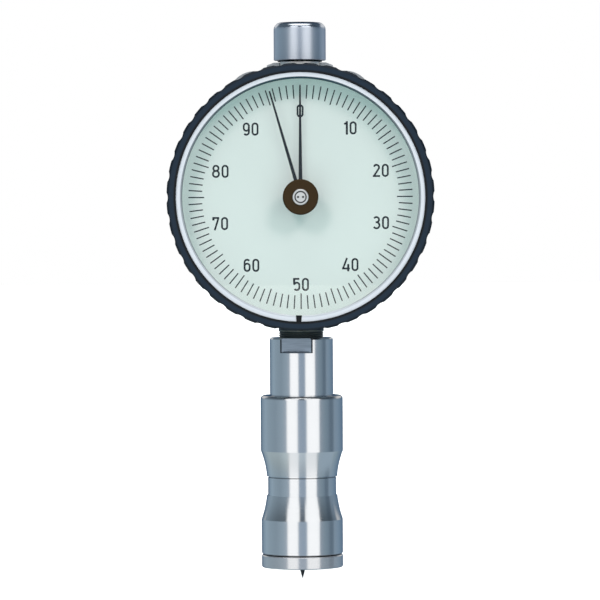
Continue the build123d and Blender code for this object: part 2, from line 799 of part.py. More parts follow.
# Upper guide bush and the hollow cap that is screwed onto it
bush_bottom = plate_top + moving_room
bush_spigot_top = flange_top + bush_spigot_length
with BuildPart() as upper_guide_bush:
    with BuildSketch(Plane.XY.offset(bush_bottom)):
        Circle(bush_shank_diameter / 2)
    extrude(amount=flange_bottom - bush_bottom)
    with BuildSketch(Plane.XY.offset(flange_bottom)):
        Circle(bush_flange_diameter / 2)
    extrude(amount=bush_flange_thickness)
    with BuildSketch(Plane.XY.offset(flange_top)):
        Circle(bush_spigot_diameter / 2)
    extrude(amount=bush_spigot_length)
    with BuildSketch(Plane.XY.offset(bush_bottom)):
        Circle(spindle_radius + running_gap)
    extrude(amount=bush_spigot_top - bush_bottom, mode=Mode.SUBTRACT)

with BuildPart() as top_cap:
    with BuildSketch(Plane.XY.offset(cap_bottom)):
        Circle(cap_diameter / 2)
    extrude(amount=cap_height)
    fillet(top_cap.edges().group_by(Axis.Z)[-1], radius=cap_round)
    chamfer(top_cap.edges().group_by(Axis.Z)[0], length=cap_bottom_edge)
    with BuildSketch(Plane.XY.offset(flange_top)):
        Circle(cap_seat_diameter / 2)
    extrude(amount=cap_seat_height)
    with BuildSketch(Plane.XY.offset(flange_top)):
        Circle(bush_spigot_diameter / 2)
    extrude(amount=bush_spigot_top + slip_gap - flange_top, mode=Mode.SUBTRACT)
    with BuildSketch(Plane.XY.offset(flange_top)):
        Circle(spindle_radius + moving_room)
    extrude(amount=cap_ceiling - flange_top, mode=Mode.SUBTRACT)

# Main plate, seated on the lugs in front of the spindle
plate_bush_places = (centre_place, takeup_place)
guide_place = (guide_left + guide_block_width / 2, guide_pin_height + indenter_reach / 2)
guide_screw_places = [
    (guide_place[0], guide_place[1] + side * guide_screw_spacing / 2) for side in (-1, 1)
]
cock_column_x = drive_x - cock_column_distance
cock_screw_place = (cock_column_x, drive_height)
with BuildPart() as main_plate:
    with BuildSketch(front_plane(plate_back)):
        Circle(plate_radius)
        with PolarLocations(lug_circle_radius, lug_count, start_angle=lug_start_angle):
            Circle(plate_screw_diameter / 2, mode=Mode.SUBTRACT)
        with Locations(*[(x, z - dial_height) for x, z in plate_bush_places]):
            Circle(bush_diameter / 2, mode=Mode.SUBTRACT)
        with Locations(*[(x, z - dial_height) for x, z in pillar_places]):
            Circle(pillar_rivet_diameter / 2, mode=Mode.SUBTRACT)
        with Locations(*[(x, z - dial_height) for x, z in guide_screw_places]):
            Circle(guide_screw_diameter / 2, mode=Mode.SUBTRACT)
        with Locations((drive_x, drive_height - dial_height)):
            Circle(drive_arbor_diameter / 2 + moving_room, mode=Mode.SUBTRACT)
        with Locations((cock_column_x, drive_height - dial_height)):
            Circle(cock_screw_diameter / 2, mode=Mode.SUBTRACT)
    extrude(amount=plate_thickness)

main_plate_screws = cheese_head_screws(
    lug_places,
    plate_front,
    plate_screw_head_diameter,
    plate_screw_head_height,
    plate_screw_diameter,
    plate_thickness + plate_screw_length,
)

# Front bridge on three pillars
bridge_bush_places = (centre_place, drive_place, takeup_place)
with BuildPart() as front_bridge:
    with BuildSketch(front_plane(bridge_back)):
        Circle(bridge_radius)
        with Locations(*[(x, z - dial_height) for x, z in bridge_bush_places]):
            Circle(bush_diameter / 2, mode=Mode.SUBTRACT)
        with Locations(*[(x, z - dial_height) for x, z in pillar_places]):
            Circle(bridge_screw_diameter / 2, mode=Mode.SUBTRACT)
    extrude(amount=bridge_thickness)

with BuildPart() as bridge_pillars:
    for pillar_place in pillar_places:
        with BuildSketch(front_plane(plate_front, pillar_place)):
            Circle(pillar_diameter / 2)
        extrude(amount=pillar_length)
        with BuildSketch(front_plane(plate_front, pillar_place)):
            Circle(pillar_rivet_diameter / 2)
        extrude(amount=-plate_thickness)
        with BuildSketch(front_plane(bridge_back, pillar_place)):
            Circle(bridge_screw_diameter / 2)
        extrude(amount=bridge_thickness - bridge_screw_length, mode=Mode.SUBTRACT)

bridge_screws = cheese_head_screws(
    pillar_places,
    bridge_front,
    bridge_screw_head_diameter,
    bridge_screw_head_height,
    bridge_screw_diameter,
    bridge_screw_length,
)

plate_bushes = bushes(plate_bush_places, plate_back, plate_thickness)
bridge_bushes = bushes(bridge_bush_places, bridge_back, bridge_thickness)
cock_bush = bushes((drive_place,), cock_back, cock_thickness)

# Rear cock: an arm behind the rack pinion on a column from the main plate
cock_left = cock_column_x - cock_column_width / 2
cock_right = drive_x + cock_overhang
cock_middle_x = (cock_left + cock_right) / 2
with BuildPart() as rear_cock:
    with BuildSketch(front_plane(cock_back, (cock_middle_x, drive_height))):
        Rectangle(cock_right - cock_left, cock_height)
        with Locations((drive_x - cock_middle_x, 0)):
            Circle(bush_diameter / 2, mode=Mode.SUBTRACT)
    extrude(amount=cock_thickness)
    with BuildSketch(front_plane(cock_front, cock_screw_place)):
        Rectangle(cock_column_width, cock_height)
    extrude(amount=plate_back - cock_front)
    with BuildSketch(front_plane(cock_back, cock_screw_place)):
        Circle(cock_screw_diameter / 2)
    extrude(amount=plate_back - cock_back, mode=Mode.SUBTRACT)

with BuildPart() as rear_cock_screw:
    with BuildSketch(front_plane(cock_back, cock_screw_place)):
        Circle(cock_screw_head_diameter / 2)
    extrude(amount=-cock_screw_head_height)
    with BuildSketch(front_plane(cock_back, cock_screw_place)):
        Circle(cock_screw_diameter / 2)
    extrude(amount=plate_front - cock_back)
    with BuildSketch(front_plane(cock_back - cock_screw_head_height, cock_screw_place)):
        Rectangle(cock_screw_head_diameter, screw_slot_width)
    extrude(amount=cock_screw_head_height / 2, mode=Mode.SUBTRACT)

# Guide block: its slot keeps the spindle's pin, and so the rack, from turning
slot_half = guide_pin_diameter / 2 + running_gap
guide_block_back = plate_back - 2 * spindle_radius
guide_screw_length = plate_back - slot_half - moving_room
with BuildPart() as guide_block:
    with BuildSketch(front_plane(guide_block_back, guide_place)):
        Rectangle(guide_block_width, guide_block_height)
    extrude(amount=plate_back - guide_block_back)
    with BuildSketch(front_plane(-slot_half, ((guide_left + slot_end) / 2, guide_place[1]))):
        Rectangle(slot_end - guide_left, guide_block_height)
    extrude(amount=2 * slot_half, mode=Mode.SUBTRACT)
    with BuildSketch(front_plane(plate_back, guide_place)):
        with GridLocations(0, guide_screw_spacing, 1, 2):
            Circle(guide_screw_diameter / 2)
    extrude(amount=-guide_screw_length, mode=Mode.SUBTRACT)

guide_block_screws = cheese_head_screws(
    guide_screw_places,
    plate_front,
    guide_screw_head_diameter,
    plate_screw_head_height,
    guide_screw_diameter,
    plate_thickness + guide_screw_length,
)

# Arbors and gears
body_back = plate_front + pivot_play
body_front = bridge_back - pivot_play
drive_arbor = arbor(
    drive_place, drive_arbor_diameter, cock_back, cock_front + pivot_play, body_front, bridge_front
)
takeup_arbor = arbor(takeup_place, takeup_arbor_diameter, plate_back, body_back, body_front, bridge_front)
rack_pinion = spur_gear(
    rack_pinion_teeth,
    rack_module,
    0.0,
    drive_arbor_diameter,
    -pinion_half_width,
    rack_pinion_width,
    drive_place,
)
drive_gear = spur_gear(
    drive_gear_teeth,
    gear_module,
    drive_gear_turn,
    drive_arbor_diameter,
    gear_back,
    gear_thickness,
    drive_place,
)
centre_pinion = spur_gear(
    centre_pinion_teeth,
    gear_module,
    centre_pinion_turn,
    centre_arbor_diameter,
    pinion_back,
    centre_pinion_width,
    centre_place,
)
takeup_gear = spur_gear(
    takeup_gear_teeth,
    gear_module,
    takeup_gear_turn,
    takeup_arbor_diameter,
    gear_back,
    gear_thickness,
    takeup_place,
)

with BuildPart() as centre_arbor:
    with BuildSketch(front_plane(plate_back)):
        Circle(pivot_diameter / 2)
    extrude(amount=main_hand_front - plate_back)
    with BuildSketch(front_plane(body_back)):
        Circle(centre_arbor_diameter / 2)
    extrude(amount=body_front - body_back)
    with BuildSketch(front_plane(bridge_front + pivot_play)):
        Circle(hand_seat_diameter / 2)
    extrude(amount=main_hand_front - bridge_front - pivot_play)

# Hairspring that takes up the play in the teeth: a flat strip wound from the collet out to a stud
collet_back = gear_front + moving_room
strip_back = collet_back + (collet_width - hairspring_width) / 2
strip_start = collet_diameter / 2 + running_gap + hairspring_thickness / 2
strip_end = strip_start + hairspring_half_turns * hairspring_step
strip_side = 1 - 2 * (hairspring_half_turns % 2)
stud_distance = strip_end + hairspring_thickness / 2 + stud_size / 2
stud_place = (takeup_place[0] + strip_side * stud_distance, takeup_place[1])
with BuildPart() as hairspring_collet:
    with BuildSketch(front_plane(collet_back, takeup_place)):
        Circle(collet_diameter / 2)
        Circle(takeup_arbor_diameter / 2, mode=Mode.SUBTRACT)
    extrude(amount=collet_width)

with BuildPart() as hairspring:
    with BuildSketch(front_plane(strip_back, takeup_place)):
        with BuildLine():
            for turn in range(hairspring_half_turns):
                side = 1 - 2 * (turn % 2)
                inner = strip_start + turn * hairspring_step
                outer = inner + hairspring_step
                ThreePointArc(
                    (side * inner, 0),
                    (side * (inner - outer) / 2, side * (inner + outer) / 2),
                    (-side * outer, 0),
                )
        trace(line_width=hairspring_thickness)
    extrude(amount=hairspring_width)

with BuildPart() as hairspring_stud:
    with BuildSketch(front_plane(strip_back, stud_place)):
        Rectangle(stud_size, stud_size)
    extrude(amount=bridge_back - strip_back)

# Bezel: a ring with a scalloped grip, a ledge for the dial and a key in the retaining ring's gap
ring_seat_radius = bezel_bore_radius + ring_seat_depth
skirt_radius = case_spigot_radius + running_gap
wire_groove_radius = wire_circle_radius + wire_groove_half
wire_groove_back = wire_depth - wire_groove_half
wire_groove_front = wire_depth + wire_groove_half
groove_circle_radius = bezel_radius - bezel_groove_depth + bezel_groove_radius
gap_plane = front_plane(crystal_front, turn=-ring_gap_turn)
with BuildPart() as bezel:
    with BuildSketch(dial_section):
        Polygon(
            (skirt_radius, bezel_back),
            (bezel_radius - bezel_edge, bezel_back),
            (bezel_radius, bezel_back + bezel_edge),
            (bezel_radius, bezel_front - bezel_edge),
            (bezel_radius - bezel_edge, bezel_front),
            (bezel_bore_radius, bezel_front),
            (bezel_bore_radius, ring_front),
            (ring_seat_radius, ring_front),
            (ring_seat_radius, crystal_front),
            (bezel_bore_radius, crystal_front),
            (bezel_bore_radius, dial_back),
            (bezel_ledge_radius, dial_back),
            (bezel_ledge_radius, ledge_back),
            (skirt_radius, ledge_back),
            (skirt_radius, wire_groove_front),
            (wire_groove_radius, wire_groove_front),
            (wire_groove_radius, wire_groove_back),
            (skirt_radius, wire_groove_back),
            align=None,
        )
    revolve(axis=dial_axis)
    with BuildSketch(front_plane(bezel_back)):
        with PolarLocations(groove_circle_radius, bezel_groove_count, start_angle=bezel_first_groove):
            Circle(bezel_groove_radius)
    extrude(amount=bezel_front - bezel_back, mode=Mode.SUBTRACT)
    with BuildSketch(gap_plane):
        Polygon(
            (-ring_gap_outer_width / 2 + slip_gap, -ring_seat_radius),
            (ring_gap_outer_width / 2 - slip_gap, -ring_seat_radius),
            (ring_gap_inner_width / 2 - slip_gap, -ring_inner_radius),
            (-ring_gap_inner_width / 2 + slip_gap, -ring_inner_radius),
            align=None,
        )
    extrude(amount=ring_thickness)

with BuildPart() as retaining_ring:
    with BuildSketch(dial_section):
        Polygon(
            (ring_inner_radius, crystal_front),
            (ring_seat_radius, crystal_front),
            (ring_seat_radius, ring_front),
            (ring_inner_radius + ring_bevel, ring_front),
            (ring_inner_radius, ring_front - ring_bevel),
            align=None,
        )
    revolve(axis=dial_axis)
    with BuildSketch(gap_plane):
        Polygon(
            (-ring_gap_outer_width / 2, -ring_seat_radius - slip_gap),
            (ring_gap_outer_width / 2, -ring_seat_radius - slip_gap),
            (ring_gap_inner_width / 2, -ring_inner_radius + slip_gap),
            (-ring_gap_inner_width / 2, -ring_inner_radius + slip_gap),
            align=None,
        )
    extrude(amount=ring_thickness, mode=Mode.SUBTRACT)

with BuildPart() as crystal:
    with BuildSketch(front_plane(crystal_back)):
        Circle(crystal_radius)
        Circle(drag_shaft_diameter / 2 + running_gap, mode=Mode.SUBTRACT)
    extrude(amount=crystal_thickness)
    chamfer(crystal.edges().filter_by(GeomType.CIRCLE).sort_by(SortBy.RADIUS)[-2:], length=crystal_edge)

with BuildPart() as dial_spacer:
    with BuildSketch(front_plane(dial_front)):
        Circle(crystal_radius)
        Circle(spacer_inner_radius, mode=Mode.SUBTRACT)
    extrude(amount=crystal_back - dial_front)

with BuildPart() as dial_plate:
    with BuildSketch(front_plane(dial_back)):
        Circle(crystal_radius)
        Circle(dial_hole_diameter / 2, mode=Mode.SUBTRACT)
    extrude(amount=dial_thickness)

# Main hand with its hub and a short dog
with BuildPart() as main_hand:
    with BuildSketch(front_plane(main_hand_back)):
        Polygon(
            (-main_hand_base_width / 2, 0),
            (main_hand_base_width / 2, 0),
            (hand_tip_width / 2, main_hand_reach),
            (-hand_tip_width / 2, main_hand_reach),
            align=None,
        )
        Circle(main_hand_boss_diameter / 2)
        Circle(hand_seat_diameter / 2, mode=Mode.SUBTRACT)
    extrude(amount=hand_thickness)
    with BuildSketch(front_plane(main_hand_front)):
        with Locations((0, dog_radius)):
            Circle(dog_diameter / 2)
    extrude(amount=drag_hand_gap - dog_room)

with BuildPart() as main_hand_hub:
    with BuildSketch(front_plane(main_hand_back - main_hub_length)):
        Circle(main_hub_diameter / 2)
        Circle(hand_seat_diameter / 2, mode=Mode.SUBTRACT)
    extrude(amount=main_hub_length)

# Drag hand behind the crystal, turned by a knob in front of it
shaft_radius = drag_shaft_diameter / 2
washer_front = crystal_front + drag_washer_thickness
knob_front = washer_front + drag_knob_thickness
head_front = knob_front + drag_head_height
with BuildPart() as drag_hand:
    with BuildSketch(front_plane(drag_hand_back, turn=drag_hand_turn)):
        Polygon(
            (-drag_hand_base_width / 2, 0),
            (drag_hand_base_width / 2, 0),
            (hand_tip_width / 2, drag_hand_reach),
            (-hand_tip_width / 2, drag_hand_reach),
            align=None,
        )
        Circle(drag_hand_boss_diameter / 2)
    extrude(amount=hand_thickness)
    with BuildSketch(front_plane(drag_hand_front)):
        Circle(drag_hand_boss_diameter / 2)
    extrude(amount=crystal_back - running_gap - drag_hand_front)
    with BuildSketch(front_plane(drag_hand_back)):
        Circle(shaft_radius)
    extrude(amount=crystal_back - drag_hand_back, mode=Mode.SUBTRACT)

with BuildPart() as drag_washer:
    with BuildSketch(front_plane(crystal_front)):
        Circle(drag_washer_diameter / 2)
        Circle(shaft_radius, mode=Mode.SUBTRACT)
    extrude(amount=drag_washer_thickness)

with BuildPart() as drag_knob:
    with BuildSketch(front_plane(washer_front)):
        Circle(drag_knob_diameter / 2)
    extrude(amount=drag_knob_thickness)
    chamfer(drag_knob.edges().sort_by(Axis.Y)[0], length=drag_knob_edge)
    with BuildSketch(front_plane(washer_front)):
        Circle(shaft_radius)
    extrude(amount=drag_knob_thickness, mode=Mode.SUBTRACT)

# Drag shaft: lip, shaft and a turned head with a rim, a groove and two holes for a pin spanner
head_radius = drag_head_diameter / 2
rim_inner = head_radius - drag_head_rim
dome_radius = rim_inner - drag_head_groove
lip_back = drag_hand_back - drag_lip_thickness
groove_floor = head_front - drag_head_height / 2
with BuildPart() as drag_shaft:
    with BuildSketch(dial_section):
        Polygon(
            (0, lip_back),
            (drag_lip_diameter / 2, lip_back),
            (drag_lip_diameter / 2, drag_hand_back),
            (shaft_radius, drag_hand_back),
            (shaft_radius, knob_front),
            (head_radius, knob_front),
            (head_radius, head_front - drag_head_edge),
            (head_radius - drag_head_edge, head_front),
            (rim_inner, head_front),
            (rim_inner, groove_floor),
            (dome_radius, groove_floor),
            (dome_radius, head_front),
            (0, head_front),
            align=None,
        )
    revolve(axis=dial_axis)
    with BuildSketch(front_plane(groove_floor)):
        with GridLocations(drag_head_hole_spacing, 0, 2, 1):
            Circle(drag_head_hole_diameter / 2)
    extrude(amount=head_front - groove_floor, mode=Mode.SUBTRACT)

# Files, one for each piece
os.makedirs("parts", exist_ok=True)
finish(presser_foot.part, "presser_foot")
finish(lower_guide_bush.part, "lower_guide_bush")
finish(indenter.part, "indenter")
finish(spindle.part, "spindle")
finish(spring_collar.part, "spring_collar")
finish(guide_pin.part, "guide_pin")
finish(calibrated_spring.part, "calibrated_spring")
finish(spring_adjuster.part, "spring_adjuster")
finish(grip_sleeve.part, "grip_sleeve")
finish(spring_housing.part, "spring_housing")
finish(threaded_neck.part, "threaded_neck")
finish(case.part, "case")
finish(bezel_spring_wire.part, "bezel_spring_wire")
finish(back_cover.part, "back_cover")
finish(back_cover_screws.part, "back_cover_screws")
finish(upper_guide_bush.part, "upper_guide_bush")
finish(top_cap.part, "top_cap")
finish(main_plate.part, "main_plate")
finish(main_plate_screws, "main_plate_screws")
finish(front_bridge.part, "front_bridge")
finish(bridge_pillars.part, "bridge_pillars")
finish(bridge_screws, "bridge_screws")
finish(plate_bushes, "plate_bushes")
finish(bridge_bushes, "bridge_bushes")
finish(cock_bush, "cock_bush")
finish(rear_cock.part, "rear_cock")
finish(rear_cock_screw.part, "rear_cock_screw")
finish(guide_block.part, "guide_block")
finish(guide_block_screws, "guide_block_screws")
finish(drive_arbor, "drive_arbor")
finish(rack_pinion, "rack_pinion")
finish(drive_gear, "drive_gear")
finish(centre_arbor.part, "centre_arbor")
finish(centre_pinion, "centre_pinion")
finish(takeup_arbor, "takeup_arbor")
finish(takeup_gear, "takeup_gear")
finish(hairspring_collet.part, "hairspring_collet")
finish(hairspring.part, "hairspring")
finish(hairspring_stud.part, "hairspring_stud")
finish(bezel.part, "bezel")
finish(retaining_ring.part, "retaining_ring")
finish(crystal.part, "crystal")
finish(dial_spacer.part, "dial_spacer")
finish(dial_plate.part, "dial_plate")
finish(main_hand.part, "main_hand")
finish(main_hand_hub.part, "main_hand_hub")
finish(drag_hand.part, "drag_hand")
finish(drag_washer.part, "drag_washer")
finish(drag_knob.part, "drag_knob")
finish(drag_shaft.part, "drag_shaft")
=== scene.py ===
import json
import math
from contextlib import contextmanager

import bpy
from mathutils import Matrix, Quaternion, Vector


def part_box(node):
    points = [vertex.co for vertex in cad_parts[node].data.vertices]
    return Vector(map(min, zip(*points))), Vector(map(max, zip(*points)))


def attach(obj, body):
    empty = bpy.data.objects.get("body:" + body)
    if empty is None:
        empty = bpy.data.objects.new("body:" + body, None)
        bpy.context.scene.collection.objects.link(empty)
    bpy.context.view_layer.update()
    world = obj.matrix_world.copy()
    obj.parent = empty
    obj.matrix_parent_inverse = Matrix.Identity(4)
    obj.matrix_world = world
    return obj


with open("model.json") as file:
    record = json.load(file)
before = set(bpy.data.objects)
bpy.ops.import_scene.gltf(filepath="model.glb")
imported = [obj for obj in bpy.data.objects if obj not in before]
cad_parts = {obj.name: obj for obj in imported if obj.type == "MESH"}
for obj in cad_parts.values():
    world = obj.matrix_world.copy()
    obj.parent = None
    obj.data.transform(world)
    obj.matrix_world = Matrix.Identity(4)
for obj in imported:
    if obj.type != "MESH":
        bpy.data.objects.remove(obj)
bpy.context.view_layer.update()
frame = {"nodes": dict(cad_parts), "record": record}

bl_info = {
    "name": "Dial Durometer",
    "version": (1, 0, 0),
    "blender": (4, 5, 0),
    "location": "View3D > Sidebar > Durometer",
    "description": "Finishes, dial print and studio for the dial durometer's packed solids",
    "category": "Object",
}

MM = 0.001

# The frame's own places: the dial faces -Y, and its centre is the axis of the bezel and the hands
DIAL_LOW, DIAL_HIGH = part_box("dial_plate")
DIAL_CENTRE = Vector((0, DIAL_LOW.y, (DIAL_LOW.z + DIAL_HIGH.z) / 2))
BEZEL_LOW, BEZEL_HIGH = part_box("bezel")
BEZEL_RADIUS = (BEZEL_HIGH.z - BEZEL_LOW.z) / 2
RING_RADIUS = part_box("retaining_ring")[1].x
RING_CORNER_RADIUS = RING_RADIUS - 1.13 * MM
NECK_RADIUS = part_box("threaded_neck")[1].x
CREST_DEPTH = 0.15 * MM
CASE_BOSS_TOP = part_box("case")[0].z + 1.5 * MM
STEM_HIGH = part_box("spring_housing")[1]
FOOT_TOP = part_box("grip_sleeve")[0].z
FOOT_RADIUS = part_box("presser_foot")[1].x
TIP_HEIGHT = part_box("indenter")[0].z

# The stem's two wrench flats: their turn from the dial's plane, distance from the axis, length and half
# width, the painted shade line along each edge, and how far the finish starts below a flat's face
FLAT_TURN = math.radians(10.5)
FLAT_DISTANCE = 6.0 * MM
FLAT_LENGTH = 3.25 * MM
FLAT_HALF_WIDTH = math.sqrt(STEM_HIGH.x ** 2 - FLAT_DISTANCE ** 2)
FLAT_EDGE = 0.3 * MM
FLAT_MARGIN = 0.02 * MM

# How far from the axis the painted shade over the grip's waist reaches, and the groove between grip and
# presser foot
WAIST_GROOVE_REACH = 7.45 * MM
SEAM_DEPTH = 0.3 * MM

# The upper bush's threaded spigot above its collar, and the cap's turned-down seat and rounded edge
SPIGOT_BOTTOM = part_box("upper_guide_bush")[1].z - 5.0 * MM
CAP_LOW, CAP_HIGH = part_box("top_cap")
CAP_SEAT_TOP = CAP_LOW.z + 0.3 * MM
CAP_ROUND_BOTTOM = CAP_HIGH.z - 1.2 * MM

# The knob's screw head: its groove's radius and half width, and the start of its two holes
HEAD_GROOVE_RADIUS = 1.2 * MM
HEAD_GROOVE_HALF = 0.15 * MM
HEAD_HOLE_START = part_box("drag_shaft")[0].y + 0.05 * MM

# For each lathe axis: the shift that brings it to the origin, and the plane across it
AXIS_SHIFT = {"Z": Vector((0, 0, 0)), "Y": -DIAL_CENTRE}
AXIS_PLANE = {"Z": Vector((1, 1, 0)), "Y": Vector((1, 0, 1))}

# What matt paint and ink have in common
MATT = {"IOR": 1.5, "Specular IOR Level": 0.06}

# The camera's sensor in millimetres, and how near and how far it sees in metres
SENSOR_WIDTH = 36
CLIP_NEAR, CLIP_FAR = 0.01, 100

# Points of the print that are nearer than this become one
MERGE_DISTANCE = 0.0005 * MM

# Which nodes each operator dresses: the movement is all that the other lists leave
BARREL_NODES = (
    "presser_foot", "grip_sleeve", "spring_housing", "threaded_neck", "lower_guide_bush",
    "spring_adjuster", "calibrated_spring", "spindle", "indenter", "spring_collar",
)
CASE_NODES = (
    "case", "back_cover", "back_cover_screws", "bezel_spring_wire", "upper_guide_bush", "top_cap",
)
BEZEL_NODES = ("bezel", "retaining_ring", "dial_spacer", "crystal", "dial_plate")
HAND_NODES = ("main_hand", "main_hand_hub", "drag_hand", "drag_washer", "drag_knob", "drag_shaft")
OUTER_NODES = BARREL_NODES + CASE_NODES + BEZEL_NODES + HAND_NODES
SLOT_OF_NODE = {part["node"]: part["material_slot"] for part in frame["record"]["subparts"]}
MOVEMENT_NODES = tuple(node for node in SLOT_OF_NODE if node not in OUTER_NODES)

# Clear and thin pieces that some rays pass, so that the dial under them stays clean
HIDDEN_FROM = {
    "crystal": ("visible_shadow", "visible_diffuse"),
    "main_hand": ("visible_shadow",),
    "drag_hand": ("visible_shadow",),
}


def linear(hex_colour):
    """Turn an sRGB hex colour into linear red, green, blue and full alpha."""
    parts = [int(hex_colour[start:start + 2], 16) / 255 for start in (1, 3, 5)]
    bent = [part / 12.92 if part <= 0.04045 else ((part + 0.055) / 1.055) ** 2.4 for part in parts]
    return (*bent, 1.0)


def per_mm(pattern_size):
    """Texture scale of a pattern whose features are this many millimetres apart."""
    return 1 / (pattern_size * MM)


def shaded(colour, factor):
    """The same colour, lighter or darker by a factor, kept within range."""
    return (*[min(part * factor, 1.0) for part in colour[:3]], 1.0)


def size_property(title, description, millimetres):
    """A length that a user can set, written here in millimetres."""
    return bpy.props.FloatProperty(
        name=title, description=description, default=millimetres * MM, unit="LENGTH", precision=5
    )


def colour_property(title, description, hex_colour):
    """A finish colour that a user can set, written here as an sRGB hex value."""
    return bpy.props.FloatVectorProperty(
        name=title, description=description, default=linear(hex_colour),
        subtype="COLOR", size=4, min=0, max=1,
    )


def strength_property(title, description, value):
    """A light's brightness, where 1 shows as white paper."""
    return bpy.props.FloatProperty(name=title, description=description, default=value, min=0)


def angle_property(title, description, degrees):
    """An angle that a user can set, written here in degrees."""
    return bpy.props.FloatProperty(
        name=title, description=description, default=math.radians(degrees), subtype="ANGLE"
    )


class DialPrint(bpy.types.PropertyGroup):
    """Sizes of the scale that is printed on the dial."""

    tick_count: bpy.props.IntProperty(
        name="Ticks", description="Ticks in the whole turn, one for each degree of hardness", default=100
    )
    ticks_per_group: bpy.props.IntProperty(
        name="Ticks per group", description="A long tick and the short ones after it", default=5
    )
    tick_outer: size_property("Tick outer radius", "Circle where all ticks start", 24.59)
    tick_inner: size_property("Short tick inner radius", "Circle where short ticks end", 21.6)
    long_tick_inner: size_property("Long tick inner radius", "Circle where long ticks end", 21.14)
    tick_width: size_property("Tick width", "Width of one printed line", 0.26)
    number_step: bpy.props.IntProperty(
        name="Number step", description="Ticks between one number and the next", default=10
    )
    number_reach: size_property("Number reach", "Circle that the numbers' outer sides reach", 20.65)
    digit_height: size_property("Digit height", "Full height of a digit", 2.93)
    digit_width: size_property("Digit width", "Full width of the digit 0", 1.6)
    digit_stroke: size_property("Digit stroke", "Width of the line that draws a digit", 0.47)
    digit_gap: size_property("Digit gap", "Space between two digits", 0.37)
    zero_drop: size_property("Zero drop", "How much nearer the middle the 0 is than the other numbers", 0.33)
    ink_thickness: size_property("Ink thickness", "How thick the printed ink is", 0.03)


class FinishColours(bpy.types.PropertyGroup):
    """Colours of the durometer's finishes."""

    stainless: colour_property("Stainless steel", "Barrel and foot", "#CBCDCF")
    cap_steel: colour_property("Cap steel", "Top cap", "#C9D0DA")
    milled_steel: colour_property("Milled steel", "Wrench flats of the stem", "#93A1AF")
    black_oxide: colour_property("Black oxide", "Threaded neck", "#50585D")
    rubbed_crest: colour_property("Rubbed crest", "Crests of the neck's thread", "#83877A")
    # Painted shade: a near-black that stands in for the shade in grooves, in gaps and under seats
    old_oil: colour_property("Old oil", "Painted shade in grooves and under seats", "#181B19")
    case_silver: colour_property("Case silver", "Case and back cover", "#B4B8BA")
    bezel_black: colour_property("Bezel black", "Moulded bezel", "#142535")
    aluminium: colour_property("Aluminium", "Retaining ring", "#ECF1F5")
    # Painted shade for the ring's inner corner
    ring_corner: colour_property("Ring corner", "Line between the ring and the crystal", "#2F4A52")
    spacer_paint: colour_property("Spacer paint", "Spacer between dial and crystal", "#C4D6D2")
    dial_mint: colour_property("Dial mint", "Enamel of the dial", "#D6E3E0")
    ink: colour_property("Ink", "Ticks and numbers", "#0A100F")
    hand_black: colour_property("Hand black", "Paint on both hands", "#060707")
    knob_brown: colour_property("Knob brown", "Knob of the maximum hand", "#33240A")
    polished_steel: colour_property("Polished steel", "Knob shaft and washer", "#D8DBDD")
    nickel: colour_property("Nickel", "Collar of the upper bush and the knob's screw head", "#F1F1EE")
    ground_steel: colour_property("Ground steel", "Spindle, arbors and screws", "#9A9EA2")
    tool_steel: colour_property("Tool steel", "Hardened indenter", "#2A2D31")
    spring_steel: colour_property("Spring steel", "Springs and wire", "#7D8185")
    brass: colour_property("Brass", "Plates, gears and bushes", "#C9A86A")
    acrylic: colour_property("Acrylic", "Crystal over the dial", "#FBFDFC")
    paper: colour_property("Paper", "Floor of the studio", "#F4F5F6")


class Studio(bpy.types.PropertyGroup):
    """Camera, floor and lights of the studio."""

    camera_distance: size_property("Camera distance", "From the camera to the barrel's axis", 900)
    camera_height: size_property("Camera height", "Camera above the presser foot's face", 82)
    aim_height: size_property("Aim height", "Point of the axis plane in the picture's middle", 59.1)
    aim_side: size_property("Aim side", "How far the picture's middle lies right of the axis", -0.246)
    lens: bpy.props.FloatProperty(
        name="Lens", description="Focal length on a 36 mm sensor", default=244, unit="CAMERA"
    )
    roll: angle_property("Roll", "Turn of the camera about its own line of sight", 0.32)
    floor_size: size_property("Floor size", "Side of the square floor", 6000)
    floor_glow: strength_property("Floor glow", "Light from under the translucent floor", 0.95)
    panel_strength: strength_property("Panel strength", "Brightness of the two front panels", 1.56)
    rear_strength: strength_property("Rear strength", "Brightness of the two rear reflectors", 0.8)
    low_strength: strength_property("Low strength", "Brightness of the low reflector at the right", 0.655)
    low_tint: colour_property("Low tint", "Colour of the low reflector", "#D5EDFF")
    top_strength: strength_property("Top strength", "Brightness of the overhead panel", 2.2)
    wall_strength: strength_property("Wall strength", "Brightness of the room's walls", 3.3)
    bounce_tint: colour_property("Bounce tint", "Cast of the walls' light off the floor", "#FFF6E9")
    room_fill: strength_property("Room fill", "Share of the room's light that falls on matt surfaces", 0.9)
    fill_tint: colour_property("Fill tint", "Cast of the room's light on matt surfaces", "#F1FFF9")
    key_power: bpy.props.FloatProperty(
        name="Key power", description="Power of each of the two key lights", default=4.1, min=0, unit="POWER"
    )
    key_tint: colour_property("Key tint", "Colour of the key lights", "#FFDBDF")
    key_rise: angle_property("Key rise", "Height of the key lights over the dial's axis", 34.6)
    key_distance: size_property("Key distance", "From each key light to the dial", 1300)
    key_size: size_property("Key size", "Side of a key light's square softbox", 310)


def fill_inputs(node, inputs):
    """Set a node's inputs to values, or link them to sockets, or to the first live output of other nodes."""
    for name, value in inputs.items():
        if isinstance(value, bpy.types.Node):
            value = next(output for output in value.outputs if output.enabled)
        if isinstance(value, bpy.types.NodeSocket):
            node.id_data.links.new(value, node.inputs[name])
        else:
            node.inputs[name].default_value = value


def add_node(owner, kind, inputs=None, **settings):
    """Add a shader node to a material or a world, set its options, and fill or link its inputs."""
    node = owner.node_tree.nodes.new(f"ShaderNode{kind}")
    for name, value in settings.items():
        setattr(node, name, value)
    fill_inputs(node, inputs or {})
    return node


def shader_of(material):
    """The shader that gives a material its look."""
    return material.node_tree.nodes["Principled BSDF"]


